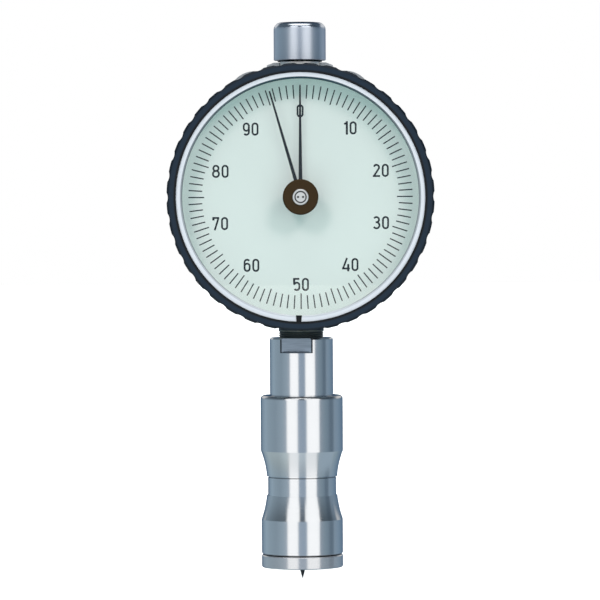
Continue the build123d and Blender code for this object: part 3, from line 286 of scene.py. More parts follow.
def place_of(material):
    """Where on its object a point of the surface lies."""
    return material.node_tree.nodes["Texture Coordinate"].outputs["Object"]


def start_material(constants):
    """Make a material that reads Object coordinates, and set what is the same all over it."""
    material = bpy.data.materials.new("new_finish")
    material.use_nodes = True
    add_node(material, "TexCoord")
    fill_inputs(shader_of(material), constants)
    return material


def blotch_colour(material, colour, spread, blotch_size):
    """Let the base colour drift a little in soft blotches of this size in millimetres."""
    noise = add_node(
        material, "TexNoise",
        {"Vector": place_of(material), "Scale": per_mm(blotch_size), "Detail": 3.0, "Roughness": 0.55},
    )
    mix = add_node(
        material, "Mix",
        {"Factor": noise, "A": shaded(colour, 1 - spread), "B": shaded(colour, 1 + spread)},
        data_type="RGBA",
    )
    fill_inputs(shader_of(material), {"Base Color": mix})


def grain_surface(material, pattern, depth, smooth, rough):
    """Raise a pattern by this many millimetres and let the roughness follow it between two values."""
    bump = add_node(material, "Bump", {"Height": pattern, "Distance": depth * MM})
    spread = add_node(
        material, "MapRange",
        {"Value": pattern, "From Min": 0.25, "From Max": 0.75, "To Min": smooth, "To Max": rough},
    )
    fill_inputs(shader_of(material), {"Normal": bump, "Roughness": spread})


def overlay(material, mask, value, socket="Base Color"):
    """Lay a value over what a shader's socket already gets, where the mask is 1."""
    below = shader_of(material).inputs[socket].links[0].from_socket
    kind = "RGBA" if socket == "Base Color" else "FLOAT"
    mix = add_node(material, "Mix", {"Factor": mask, "A": below, "B": value}, data_type=kind)
    fill_inputs(shader_of(material), {socket: mix})


def side_mask(material, axis, operation, limit):
    """1 on one side of a limit on an axis, and 0 on the other."""
    place = add_node(material, "SeparateXYZ", {"Vector": place_of(material)}).outputs[axis]
    return add_node(material, "Math", {0: place, 1: limit}, operation=operation)


def beyond_mask(material, direction, limit):
    """1 on what lies further out than a limit along a direction, to either side, and 0 on the rest."""
    way = add_node(material, "VectorMath", {0: place_of(material), 1: direction}, operation="DOT_PRODUCT")
    reach = add_node(material, "Math", {0: way}, operation="ABSOLUTE")
    return add_node(material, "Math", {0: reach, 1: limit}, operation="GREATER_THAN")


def axis_radius(material, axis):
    """Distance from the barrel's Z axis or the dial's Y axis."""
    across = AXIS_PLANE[axis]
    flat = add_node(
        material, "Mapping",
        {"Vector": place_of(material), "Location": AXIS_SHIFT[axis] * across, "Scale": across},
    )
    return add_node(material, "VectorMath", {0: flat}, operation="LENGTH")


def lathe_rings(material, axis, pitch):
    """Rings round the barrel's Z axis or the dial's Y axis, along the sides and across the end faces."""
    placed = add_node(material, "Mapping", {"Vector": place_of(material), "Location": AXIS_SHIFT[axis]})
    along = add_node(material, "SeparateXYZ", {"Vector": placed}).outputs[axis]
    feed = add_node(material, "Math", {0: axis_radius(material, axis), 1: along})
    return add_node(
        material, "TexNoise",
        {"W": feed, "Scale": per_mm(pitch), "Detail": 2.0, "Roughness": 0.6}, noise_dimensions="1D",
    )


def turned_metal(colour, axis, pitch, depth, smooth, rough, stretch):
    """A metal turned in a lathe: fine rings round its axis draw each highlight out along that axis.

    Real rings lie 0.05 to 0.1 mm apart, and each finish draws them two or three times as coarse to show."""
    quarter_turn = 0.25
    material = start_material(
        {"Metallic": 1.0, "Anisotropic": stretch, "Anisotropic Rotation": quarter_turn}
    )
    blotch_colour(material, colour, spread=0.03, blotch_size=9.0)
    grain_surface(material, lathe_rings(material, axis, pitch), depth, smooth, rough)
    tangent = add_node(material, "Tangent", direction_type="RADIAL", axis=axis)
    fill_inputs(shader_of(material), {"Tangent": tangent})
    return material


def grained_coat(colour, constants, spread, blotch_size, grain_size, depth, smooth, rough, detail=2.0):
    """A coat whose colour drifts in soft blotches, over a fine grain that breaks its gloss."""
    material = start_material(constants)
    blotch_colour(material, colour, spread, blotch_size)
    grain = add_node(
        material, "TexNoise", {"Vector": place_of(material), "Scale": per_mm(grain_size), "Detail": detail}
    )
    grain_surface(material, grain, depth, smooth, rough)
    return material


def oil_groove(material, reach, shade_colour):
    """Painted shade: darken what lies nearer than this to the barrel's axis, above the foot's rim."""
    radius = axis_radius(material, "Z")
    near = add_node(material, "Math", {0: radius, 1: reach}, operation="LESS_THAN")
    high = side_mask(material, "Z", "GREATER_THAN", FOOT_TOP - SEAM_DEPTH)
    groove = add_node(material, "Math", {0: near, 1: high}, operation="MULTIPLY")
    overlay(material, groove, shade_colour)


def turned_stainless_steel(colours):
    """Stainless steel, fine-turned: sharp-edged bright bands up the barrel, broken by faint rings, with
    painted shade in the relief groove over the waist.

    The tool's feed is about 0.1 mm, drawn here at 0.3 mm so that the rings show."""
    material = turned_metal(
        colours.stainless, "Z", pitch=0.3, depth=0.0012, smooth=0.14, rough=0.22, stretch=0.6
    )
    # Painted shade: a darker grey in the relief groove over the waist
    oil_groove(material, WAIST_GROOVE_REACH, shaded(colours.stainless, 0.45))
    return material


def rubbed_stainless_steel(colours):
    """The same steel, rubbed dull by use: paler between the bands, and the bands greyer with soft edges.
    Painted shade darkens the groove under the grip.

    Scratches are drawn 0.25 mm apart, some five times too coarse, so that they show."""
    material = turned_metal(
        shaded(colours.stainless, 0.94), "Z", pitch=0.25, depth=0.0015, smooth=0.16, rough=0.24, stretch=0.65
    )
    bare_share = 0.78
    fill_inputs(shader_of(material), {"Metallic": bare_share})
    # Painted shade: the gap colour darkens the groove between the grip and the foot
    oil_groove(material, FOOT_RADIUS - SEAM_DEPTH, shaded(colours.old_oil, 0.5))
    return material


def flatted_stainless_steel(colours):
    """The same turned steel with milled wrench flats: duller and greyer, streaked by the cutter, with a line
    of painted shade where each flat runs out.

    The cutter's streaks are drawn 0.3 mm apart, near their real size."""
    material = turned_metal(
        colours.stainless, "Z", pitch=0.3, depth=0.0012, smooth=0.14, rough=0.22, stretch=0.6
    )
    out = (math.sin(FLAT_TURN), math.cos(FLAT_TURN), 0)
    along = (math.cos(FLAT_TURN), -math.sin(FLAT_TURN), 0)
    far = beyond_mask(material, out, FLAT_DISTANCE - FLAT_MARGIN)
    high = side_mask(material, "Z", "GREATER_THAN", STEM_HIGH.z - FLAT_LENGTH)
    flat = add_node(material, "Math", {0: far, 1: high}, operation="MULTIPLY")
    drawn_out = add_node(material, "Mapping", {"Vector": place_of(material), "Scale": (0.06, 0.06, 1)})
    streak = add_node(
        material, "TexNoise",
        {"Vector": drawn_out, "Scale": per_mm(0.3), "Detail": 3.0, "Roughness": 0.6},
    )
    dark, pale, edge_shade = [shaded(colours.milled_steel, factor) for factor in (0.6, 1.3, 0.1)]
    milled = add_node(material, "Mix", {"Factor": streak, "A": dark, "B": pale}, data_type="RGBA")
    # Painted shade: a dark line along each side of the flat
    edge = beyond_mask(material, along, FLAT_HALF_WIDTH - FLAT_EDGE)
    finish = add_node(material, "Mix", {"Factor": edge, "A": milled, "B": edge_shade}, data_type="RGBA")
    dull = 0.55
    overlay(material, flat, finish)
    overlay(material, flat, dull, "Roughness")
    return material


def ground_stainless_steel(colours):
    """Stainless steel, turned and then rubbed with emery: the same bands with soft edges. The rounded edge
    is polished, so that it holds a sharp white line, and painted shade darkens the seat below the cap.

    Emery lines are some 0.05 mm apart, drawn here at 0.25 mm so that they show."""
    material = turned_metal(
        colours.cap_steel, "Z", pitch=0.25, depth=0.002, smooth=0.4, rough=0.5, stretch=0.75
    )
    polished = 0.16
    # Painted shade: the seat under the cap gets the dark gap colour
    seat = side_mask(material, "Z", "LESS_THAN", CAP_SEAT_TOP)
    edge = side_mask(material, "Z", "GREATER_THAN", CAP_ROUND_BOTTOM)
    overlay(material, seat, shaded(colours.old_oil, 0.2))
    overlay(material, edge, polished, "Roughness")
    return material


def turned_bright_aluminium(colours):
    """Aluminium, turned bright round the dial: a pale satin ring with fine circles in it, and a thin line of
    painted shade in the corner against the crystal, darkest at the top of the ring and fading to its bottom."""
    material = turned_metal(
        colours.aluminium, "Y", pitch=0.22, depth=0.002, smooth=0.45, rough=0.6, stretch=0.15
    )
    radius = axis_radius(material, "Y")
    # Painted shade: the ring's inner corner is darkened, most at the top and least at the bottom
    corner = add_node(material, "Math", {0: radius, 1: RING_CORNER_RADIUS}, operation="LESS_THAN")
    height = add_node(material, "SeparateXYZ", {"Vector": place_of(material)}).outputs["Z"]
    bottom, top = DIAL_CENTRE.z - RING_RADIUS, DIAL_CENTRE.z + RING_RADIUS
    left_at_bottom = 0.15
    fade = add_node(
        material, "MapRange",
        {"Value": height, "From Min": bottom, "From Max": top, "To Min": left_at_bottom},
    )
    line = add_node(material, "Math", {0: corner, 1: fade}, operation="MULTIPLY")
    overlay(material, line, colours.ring_corner)
    return material


def matt_spacer_paint(colours):
    """Dull paint sprayed on the spacer: pale grey-green, so that the shade at the dial's rim stays soft."""
    return grained_coat(
        colours.spacer_paint, MATT,
        spread=0.06, blotch_size=0.9, grain_size=0.2, depth=0.0015, smooth=0.5, rough=0.65,
    )


def machined_brass(colours):
    """Brass, milled and lightly brushed: warm yellow with fine lines."""
    return turned_metal(colours.brass, "Y", pitch=0.2, depth=0.0015, smooth=0.22, rough=0.36, stretch=0.3)


def black_oxide_steel(colours):
    """Steel blackened in hot salts: oily green-black, with the crests of the thread rubbed a little paler."""
    material = start_material({"Metallic": 0.35})
    noise = add_node(
        material, "TexNoise", {"Vector": place_of(material), "Scale": per_mm(0.8), "Detail": 4.0}
    )
    grain_surface(material, noise, depth=0.003, smooth=0.34, rough=0.5)
    radius = axis_radius(material, "Z")
    rub = add_node(
        material, "MapRange",
        {"Value": radius, "From Min": NECK_RADIUS - CREST_DEPTH, "From Max": NECK_RADIUS},
    )
    worn = add_node(material, "Math", {0: rub, 1: noise}, operation="MULTIPLY")
    mix = add_node(
        material, "Mix",
        {"Factor": worn, "A": colours.black_oxide, "B": colours.rubbed_crest}, data_type="RGBA",
    )
    fill_inputs(shader_of(material), {"Base Color": mix})
    return material


def satin_silver_case(colours):
    """Die-cast aluminium under satin silver lacquer: pale grey with a fine metallic speckle, and darkened
    with painted shade at the boss that the neck screws into."""
    material = grained_coat(
        colours.case_silver, {"Metallic": 0.85},
        spread=0.05, blotch_size=0.5, grain_size=0.3, depth=0.004, smooth=0.36, rough=0.5,
    )
    # Painted shade: the boss under the bezel is darkened
    boss = side_mask(material, "Z", "LESS_THAN", CASE_BOSS_TOP)
    overlay(material, boss, shaded(colours.black_oxide, 0.3))
    return material


def moulded_black_abs(colours):
    """ABS, moulded in a spark-eroded tool: blue-black satin with a fine grain, rubbed smoother at the rim,
    with painted shade darkening the corner against the ring and the outer part of the rim."""
    material = start_material({"IOR": 1.53, "Specular IOR Level": 0.25})
    blotch_colour(material, colours.bezel_black, spread=0.12, blotch_size=1.2)
    grain = add_node(
        material, "TexNoise",
        {"Vector": place_of(material), "Scale": per_mm(0.35), "Detail": 3.0, "Roughness": 0.6},
    )
    bump = add_node(material, "Bump", {"Height": grain, "Distance": 0.008 * MM})
    radius = axis_radius(material, "Y")
    # Along the radius: the roughness that wear leaves, the painted shade of the corner and the painted shade
    # of the rim
    worn, corner, rim = [
        add_node(
            material, "MapRange",
            {"Value": radius, "From Min": start, "From Max": end, "To Min": inner, "To Max": outer},
        )
        for start, end, inner, outer in (
            (BEZEL_RADIUS - 0.6 * MM, BEZEL_RADIUS, 0.46, 0.36),
            (RING_RADIUS + 0.15 * MM, RING_RADIUS + 0.4 * MM, 0.1, 1.0),
            (BEZEL_RADIUS - 0.7 * MM, BEZEL_RADIUS - 0.4 * MM, 1.0, 0.5),
        )
    ]
    # Painted shade: the moulded colour is scaled darker in the corner and at the outer rim
    shade = add_node(material, "Math", {0: corner, 1: rim}, operation="MULTIPLY")
    moulded = shader_of(material).inputs["Base Color"].links[0].from_socket
    dark = add_node(material, "VectorMath", {0: moulded, "Scale": shade}, operation="SCALE")
    fill_inputs(shader_of(material), {"Normal": bump, "Roughness": worn, "Base Color": dark})
    return material


def clear_acrylic(colours):
    """Acrylic sheet, cast clear: nearly invisible, with the faintest smear of wiping."""
    material = start_material(
        {"Base Color": colours.acrylic, "Transmission Weight": 1.0, "IOR": 1.49, "Specular IOR Level": 0.05}
    )
    smear = add_node(
        material, "TexNoise", {"Vector": place_of(material), "Scale": per_mm(7.0), "Detail": 3.0}
    )
    dulled = 0.012
    spread = add_node(
        material, "MapRange",
        {"Value": smear, "From Min": 0.45, "From Max": 0.8, "To Max": dulled},
    )
    fill_inputs(shader_of(material), {"Roughness": spread})
    return material


def mint_dial_enamel(colours):
    """Stoved enamel on brass, matt: pale mint with a barely seen orange peel."""
    return grained_coat(
        colours.dial_mint, MATT,
        spread=0.015, blotch_size=6.0, grain_size=0.6, depth=0.002, smooth=0.5, rough=0.62,
    )


def screen_printed_ink(colours):
    """Ink, screen-printed and dried matt: soft black with a green cast and slightly uneven cover."""
    return grained_coat(
        colours.ink, MATT,
        spread=0.25, blotch_size=0.7, grain_size=0.15, depth=0.001, smooth=0.5, rough=0.7,
    )


def black_hand_paint(colours):
    """Lacquer sprayed on thin brass: even satin black."""
    return grained_coat(
        colours.hand_black, MATT,
        spread=0.2, blotch_size=0.9, grain_size=0.2, depth=0.0015, smooth=0.36, rough=0.5,
    )


def turned_brown_phenolic(colours):
    """Phenolic resin, turned on a lathe: dark brown with a dull gloss and fine circles.

    The circles are some 0.1 mm apart, drawn here at 0.25 mm so that they show."""
    material = start_material({"IOR": 1.6, "Specular IOR Level": 0.15})
    blotch_colour(material, colours.knob_brown, spread=0.12, blotch_size=0.8)
    circles = lathe_rings(material, "Y", pitch=0.25)
    grain_surface(material, circles, depth=0.003, smooth=0.36, rough=0.5)
    return material


def polished_steel(colours):
    """Steel, polished on a felt wheel: mirror-bright with hairline scratches."""
    return turned_metal(
        colours.polished_steel, "Y", pitch=0.15, depth=0.0006, smooth=0.08, rough=0.16, stretch=0.2
    )


def satin_nickel_bush(colours):
    """Brass under blasted nickel: a soft white collar, with painted shade darkening the thread above it."""
    material = turned_metal(colours.nickel, "Z", pitch=0.2, depth=0.001, smooth=0.5, rough=0.62, stretch=0.2)
    # Painted shade: the spigot inside the gap under the cap is darkened
    oiled = side_mask(material, "Z", "GREATER_THAN", SPIGOT_BOTTOM)
    overlay(material, oiled, colours.old_oil)
    return material


def satin_nickel_head(colours):
    """Brass under nickel, rubbed to a satin: a pale screw head, with painted shade darkening its groove and
    its two holes.
    """
    material = turned_metal(
        shaded(colours.nickel, 0.82), "Y", pitch=0.15, depth=0.0006, smooth=0.4, rough=0.5, stretch=0.1
    )
    radius = axis_radius(material, "Y")
    # Painted shade: the groove and the two holes are darkened
    groove = add_node(
        material, "Math", {0: radius, 1: HEAD_GROOVE_RADIUS, 2: HEAD_GROOVE_HALF}, operation="COMPARE"
    )
    inner = HEAD_GROOVE_RADIUS - HEAD_GROOVE_HALF
    near = add_node(material, "Math", {0: radius, 1: inner}, operation="LESS_THAN")
    deep = side_mask(material, "Y", "GREATER_THAN", HEAD_HOLE_START)
    hole_shade = add_node(material, "Math", {0: deep, 1: near}, operation="MULTIPLY")
    dark = add_node(material, "Math", {0: groove, 1: hole_shade}, operation="MAXIMUM")
    overlay(material, dark, shaded(colours.nickel, 0.1))
    return material


def ground_steel(colours):
    """Carbon steel, ground and oiled: mid-grey with fine lines."""
    return turned_metal(
        colours.ground_steel, "Y", pitch=0.18, depth=0.0012, smooth=0.22, rough=0.34, stretch=0.4
    )


def hardened_tool_steel(colours):
    """Tool steel, hardened and ground to a point: very dark, with a grey glint."""
    return turned_metal(
        colours.tool_steel, "Z", pitch=0.12, depth=0.001, smooth=0.26, rough=0.38, stretch=0.3
    )


def drawn_spring_steel(colours):
    """Spring wire, drawn and tempered: dull grey with a blue cast, streaked along the wire."""
    return turned_metal(
        colours.spring_steel, "Z", pitch=0.1, depth=0.001, smooth=0.26, rough=0.4, stretch=0.3
    )


# The finish of each material slot in the record, and of the nodes that differ from their slot
FINISH_OF_SLOT = {
    "turned_steel": turned_stainless_steel,
    "black_steel": black_oxide_steel,
    "case_metal": satin_silver_case,
    "bezel_plastic": moulded_black_abs,
    "bright_aluminium": turned_bright_aluminium,
    "clear_crystal": clear_acrylic,
    "dial_paint": mint_dial_enamel,
    "hand_paint": black_hand_paint,
    "knob_brown": turned_brown_phenolic,
    "polished_steel": polished_steel,
    "hard_steel": ground_steel,
    "spring_steel": drawn_spring_steel,
    "brass": machined_brass,
}
FINISH_OF_NODE = {
    "top_cap": ground_stainless_steel,
    "presser_foot": rubbed_stainless_steel,
    "spring_housing": flatted_stainless_steel,
    "upper_guide_bush": satin_nickel_bush,
    "drag_shaft": satin_nickel_head,
    "dial_spacer": matt_spacer_paint,
    "indenter": hardened_tool_steel,
}


def finish_material(finish, colours):
    """Give the material that is named for a finish, made the first time that it is asked for."""
    made = bpy.data.materials.get(finish.__name__)
    if made is None:
        made = finish(colours)
        made.name = finish.__name__
    return made


def dress(nodes, colours):
    """Put each solid's own finish on it, and hide it from the rays that it lets pass."""
    for node in nodes:
        piece = frame["nodes"][node]
        finish = FINISH_OF_NODE.get(node, FINISH_OF_SLOT[SLOT_OF_NODE[node]])
        for slot in piece.material_slots:
            slot.material = finish_material(finish, colours)
        for flag in HIDDEN_FROM.get(node, ()):
            setattr(piece, flag, False)


def select_only(*pieces):
    """Leave only these objects selected, the first of them active."""
    bpy.ops.object.select_all(action="DESELECT")
    for piece in pieces:
        piece.select_set(True)
    bpy.context.view_layer.objects.active = pieces[0]


@contextmanager
def editing(piece):
    """Open a piece's whole mesh for editing, and close it afterwards."""
    select_only(piece)
    bpy.ops.object.mode_set(mode="EDIT")
    bpy.ops.mesh.select_all(action="SELECT")
    yield
    bpy.ops.object.mode_set(mode="OBJECT")


def printed_piece(piece, name, colours):
    """Name a printed piece, ink it and let it ride with the bezel, which carries the dial."""
    piece.name = name
    piece.data.name = name
    piece.data.materials.clear()
    piece.data.materials.append(finish_material(screen_printed_ink, colours))
    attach(piece, "bezel")


def add_tick(sizes, inner_radius):
    """Add one upright tick bar at the top of the dial, with its printed edges rounded off."""
    length = sizes.tick_outer - inner_radius
    middle = DIAL_CENTRE + Vector((0, 0, inner_radius + length / 2))
    bpy.ops.object.select_all(action="DESELECT")
    bpy.ops.mesh.primitive_cube_add(size=1, location=middle)
    tick = bpy.context.object
    tick.dimensions = (sizes.tick_width, sizes.ink_thickness, length)
    bpy.ops.object.transform_apply(location=True, rotation=True, scale=True)
    with editing(tick):
        bpy.ops.mesh.bevel(offset=sizes.ink_thickness / 4, segments=1)
    return tick


def spin_copies(piece, copies, angle):
    """Copy a piece's whole mesh round the dial's centre, one copy after each step of this angle."""
    with editing(piece):
        bpy.ops.mesh.spin(
            steps=copies, dupli=True, angle=copies * angle, center=DIAL_CENTRE, axis=(0, 1, 0)
        )


def close_mesh(piece):
    """Merge doubles and point all faces outwards."""
    with editing(piece):
        bpy.ops.mesh.remove_doubles(threshold=MERGE_DISTANCE)
        bpy.ops.mesh.normals_make_consistent(inside=False)


def arc(across, up, radius, start, end, step=12):
    """Points along a circular stroke, from one angle to another in degrees, counted from the right."""
    count = max(2, round(abs(end - start) / step))
    angles = [math.radians(start + (end - start) * index / count) for index in range(count + 1)]
    return [(across + radius * math.cos(angle), up + radius * math.sin(angle)) for angle in angles]


def turned_over(strokes):
    """The same strokes turned upside down, as a 6 becomes a 9."""
    return [([(-across, -up) for across, up in points], closed) for points, closed in strokes]


def digit_strokes(half_width, half_height, half_stroke):
    """The ten digits of a narrow engraver's alphabet: each a list of strokes along the pen's middle."""
    bowl = half_width
    top = half_height
    edge = half_height + half_stroke
    upper = top - bowl
    low_bowl = top - bowl
    bowl_top = 0.3 * top - bowl
    four_bar = -0.69 * top
    zero = [(arc(0, upper, bowl, 0, 180) + arc(0, -upper, bowl, 180, 360)[:-1], True)]
    one = [
        ([(0, edge), (0, -edge)], False),
        ([(-1.05 * bowl, top - 0.75 * bowl), (0, top - 0.05 * bowl)], False),
    ]
    two = [
        (arc(0, upper, bowl, 165, -34) + [(-bowl, -top)], False),
        ([(-bowl - half_stroke, -top), (bowl + half_stroke, -top)], False),
    ]
    three = [
        (arc(0, upper, bowl, 150, -90), False),
        (arc(0, -bowl, low_bowl, 90, -150), False),
        ([(-0.3 * bowl, upper - bowl), (0.1 * bowl, upper - bowl)], False),
    ]
    four = [
        ([(0.37 * bowl, edge), (-1.17 * bowl, four_bar)], False),
        ([(-1.17 * bowl - half_stroke, four_bar), (1.45 * bowl, four_bar)], False),
        ([(0.84 * bowl, 0.1 * top), (0.84 * bowl, -edge)], False),
    ]
    five = [
        ([(-bowl - half_stroke, top), (bowl, top)], False),
        ([(-bowl, top), (-bowl, -0.02 * top)], False),
        (
            [(-1.05 * bowl, -0.02 * top)]
            + arc(0, -0.13 * top, bowl, 130, 0) + arc(0, -upper, bowl, 0, -150),
            False,
        ),
    ]
    six = [
        (arc(0, upper, bowl, 35, 180) + arc(0, -upper, bowl, 180, 270), False),
        (arc(0, bowl_top, bowl, 0, 180) + arc(0, -upper, bowl, 180, 360)[:-1], True),
    ]
    seven = [
        ([(-bowl - half_stroke, top), (bowl + 0.6 * half_stroke, top)], False),
        ([(-bowl, top), (-bowl, top - 0.95 * bowl)], False),
        ([(0.98 * bowl, top), (-0.5 * bowl, -edge)], False),
    ]
    eight = [
        (arc(0, upper, bowl, 0, 360)[:-1], True),
        (arc(0, -bowl, low_bowl, 0, 360)[:-1], True),
    ]
    return [zero, one, two, three, four, five, six, seven, eight, turned_over(six)]


def add_digit(digit, strokes, sizes):
    """Draw one digit as round strokes at the origin, facing -Y, and press it flat to the ink's thickness."""
    curve = bpy.data.curves.new(f"digit_{digit}", "CURVE")
    curve.dimensions = "3D"
    curve.bevel_depth = sizes.digit_stroke / 2
    curve.bevel_resolution = 1
    curve.use_fill_caps = True
    for points, closed in strokes:
        spline = curve.splines.new("POLY")
        spline.points.add(len(points) - 1)
        for place, (across, up) in zip(spline.points, points):
            place.co = (across, 0, up, 1)
        spline.use_cyclic_u = closed
    piece = bpy.data.objects.new(f"digit_{digit}", curve)
    bpy.context.scene.collection.objects.link(piece)
    select_only(piece)
    bpy.ops.object.convert(target="MESH")
    piece = bpy.context.object
    piece.scale.y = sizes.ink_thickness / sizes.digit_stroke
    bpy.ops.object.transform_apply(location=True, rotation=True, scale=True)
    close_mesh(piece)
    return piece


def side_reach(piece):
    """How far a piece's mesh reaches to the left and to the right."""
    across = [vertex.co.x for vertex in piece.data.vertices]
    return min(across), max(across)


def add_number(number, digits, sizes):
    """Set a number's digits side by side, upright, where its tick is, and give the placed copies."""
    letters = [digits[int(letter)] for letter in str(number)]
    reaches = [side_reach(letter) for letter in letters]
    width = sum(right - left for left, right in reaches) + sizes.digit_gap * (len(letters) - 1)
    turn = 2 * math.pi * number / sizes.tick_count
    half_height = sizes.digit_height / 2
    reach = abs(math.sin(turn)) * width / 2 + abs(math.cos(turn)) * half_height
    radius = sizes.number_reach - reach - (0 if number else sizes.zero_drop)
    middle = DIAL_CENTRE + radius * Vector((math.sin(turn), 0, math.cos(turn)))
    pen = -width / 2
    copies = []
    for letter, (left, right) in zip(letters, reaches):
        select_only(letter)
        bpy.ops.object.duplicate()
        copy = bpy.context.object
        copy.location = middle + Vector((pen - left, 0, 0))
        bpy.ops.object.transform_apply(location=True, rotation=False, scale=False)
        pen += right - left + sizes.digit_gap
        copies.append(copy)
    return copies


def fill_ramp(ramp, stops):
    """Set a colour ramp's stops, given as positions from 0 to 1 and colours."""
    while len(ramp.elements) > 1:
        ramp.elements.remove(ramp.elements[-1])
    ramp.elements[0].position, ramp.elements[0].color = stops[0]
    for position, colour in stops[1:]:
        ramp.elements.new(position).color = colour


def turn_share(degrees):
    """An azimuth as a share of the whole turn, where straight ahead of the dial is one half."""
    return (degrees + 180) / 360


def rise_share(degrees):
    """An elevation as a share of the way from straight down to straight up."""
    return (degrees + 90) / 180


def grey(value):
    """An opaque grey of this linear value."""
    return (value, value, value, 1.0)


# The studio as the barrel sees it, by azimuth in degrees from straight ahead of the dial, to the right.
# Panels and reflectors fade in and out at these azimuths and elevations, and walls fill the rest.
FRONT_TURN = ((-44.5, 0), (-41.5, 1), (-13, 1), (-10, 0), (12, 0), (15, 1), (49, 1), (52, 0))
FRONT_RISE = ((-58, 0), (-50, 0.6), (-28, 0.68), (-8, 1), (44, 1), (52, 0))
HIGH_TURN = ((-50.5, 0), (-47, 1), (-10, 1), (-7, 0), (8, 0), (11, 1), (54.5, 1), (58, 0))
HIGH_RISE = ((10, 0), (18, 1), (44, 1), (52, 0))
REAR_TURN = ((-174, 0), (-166, 1), (-138, 1), (-130, 0), (116, 0), (124, 1), (166, 1), (174, 0))
REAR_RISE = ((6, 0), (12, 1), (26, 1), (34, 0))
LOW_TURN = ((52, 0), (62, 1), (104, 1), (116, 0))
LOW_RISE = ((-50, 0), (-38, 1), (-20, 1), (-12, 0))
TOP_TURN = ((-115, 0), (-95, 1), (95, 1), (115, 0))
TOP_RISE = ((58, 0), (64, 1))
WALLS = (
    (-180, "#2E455C"), (-160, "#3A5066"), (-146, "#6E808F"), (-123, "#8698A5"), (-106, "#80919D"),
    (-80, "#7B8B97"), (-57, "#8898A4"), (-45, "#96A1AC"), (0, "#8998A8"), (54, "#838F9B"),
    (68, "#748591"), (80, "#6A7B89"), (86, "#5A6A78"), (97, "#5A6A78"), (104, "#788998"),
    (123, "#708495"), (147, "#5A6E82"), (180, "#2E455C"),
)
WALL_RISE = ((-90, 0.7), (-40, 0.84), (-20, 0.62), (0, 0.49), (12, 0.36), (28, 0.17), (60, 0.15), (90, 0.3))

# Where the floor's light warms the walls, and the azimuths of the two softboxes
BOUNCE_RISE = ((-24, 1), (-6, 0))
KEY_TURNS = {"left": -27, "right": 32}


def degree_mask(world, share, share_of, stops):
    """A grey that follows stops, each a place in degrees and a value, along a share of the whole range."""
    ramp = add_node(world, "ValToRGB", {"Fac": share})
    fill_ramp(ramp.color_ramp, [(share_of(place), grey(value)) for place, value in stops])
    return ramp


def light_studio(scene, studio):
    """Light the object with tall panels in front, reflectors behind and low at the right, a ceiling, and
    walls that the floor warms. The camera itself sees only white."""
    world = bpy.data.worlds.new("studio_light")
    world.use_nodes = True
    scene.world = world
    world.node_tree.nodes.clear()
    direction = add_node(world, "TexCoord").outputs["Generated"]
    parts = add_node(world, "SeparateXYZ", {"Vector": direction}).outputs
    front = add_node(world, "Math", {0: parts["Y"], 1: -1.0}, operation="MULTIPLY")
    turn = add_node(world, "Math", {0: parts["X"], 1: front}, operation="ARCTAN2")
    turn = add_node(world, "MapRange", {"Value": turn, "From Min": -math.pi, "From Max": math.pi})
    rise = add_node(world, "Math", {0: parts["Z"]}, operation="ARCSINE")
    rise = add_node(
        world, "MapRange", {"Value": rise, "From Min": -math.pi / 2, "From Max": math.pi / 2}
    )

    wall = add_node(world, "ValToRGB", {"Fac": turn})
    fill_ramp(wall.color_ramp, [(turn_share(place), linear(colour)) for place, colour in WALLS])
    fade = degree_mask(world, rise, rise_share, WALL_RISE)
    strength = (studio.wall_strength,) * 3
    bounce = degree_mask(world, rise, rise_share, BOUNCE_RISE)
    warm = add_node(
        world, "Mix", {"Factor": bounce, "A": grey(1.0), "B": studio.bounce_tint}, data_type="RGBA"
    )
    lit = wall
    for factor in (fade, strength, warm):
        lit = add_node(world, "VectorMath", {0: lit, 1: factor}, operation="MULTIPLY")
    for turn_stops, rise_stops, light in (
        (FRONT_TURN, FRONT_RISE, grey(studio.panel_strength)),
        (HIGH_TURN, HIGH_RISE, grey(studio.panel_strength)),
        (REAR_TURN, REAR_RISE, grey(studio.rear_strength)),
        (LOW_TURN, LOW_RISE, shaded(studio.low_tint, studio.low_strength)),
        (TOP_TURN, TOP_RISE, grey(studio.top_strength)),
    ):
        across = degree_mask(world, turn, turn_share, turn_stops)
        up = degree_mask(world, rise, rise_share, rise_stops)
        panel = add_node(world, "Math", {0: across, 1: up}, operation="MULTIPLY")
        lit = add_node(world, "Mix", {"Factor": panel, "A": lit, "B": light}, data_type="RGBA")

    path = add_node(world, "LightPath").outputs
    matt_light = shaded(studio.fill_tint, studio.room_fill)
    fill = add_node(
        world, "Mix", {"Factor": path["Is Diffuse Ray"], "A": grey(1.0), "B": matt_light},
        data_type="RGBA",
    )
    tinted = add_node(world, "VectorMath", {0: lit, 1: fill}, operation="MULTIPLY")
    room = add_node(world, "Background", {"Color": tinted})
    backdrop = add_node(world, "Background", {"Color": grey(1.0)})
    shown = add_node(world, "MixShader", {0: path["Is Camera Ray"], 1: room, 2: backdrop})
    add_node(world, "OutputWorld", {"Surface": shown})


def hang_key_lights(studio):
    """Hang two softboxes high on both sides of the camera, which neither metal nor crystal mirrors."""
    for side, degrees in KEY_TURNS.items():
        turn = math.radians(degrees)
        back = Vector((math.sin(turn), -math.cos(turn), math.tan(studio.key_rise))).normalized()
        look = (-back).to_track_quat("-Z", "Y")
        place = DIAL_CENTRE + studio.key_distance * back
        bpy.ops.object.light_add(type="AREA", location=place, rotation=look.to_euler())
        key = bpy.context.object
        key.name = f"key_light_{side}"
        key.data.energy = studio.key_power
        key.data.color = studio.key_tint[:3]
        key.data.size = studio.key_size
        key.visible_glossy = False
        key.visible_transmission = False


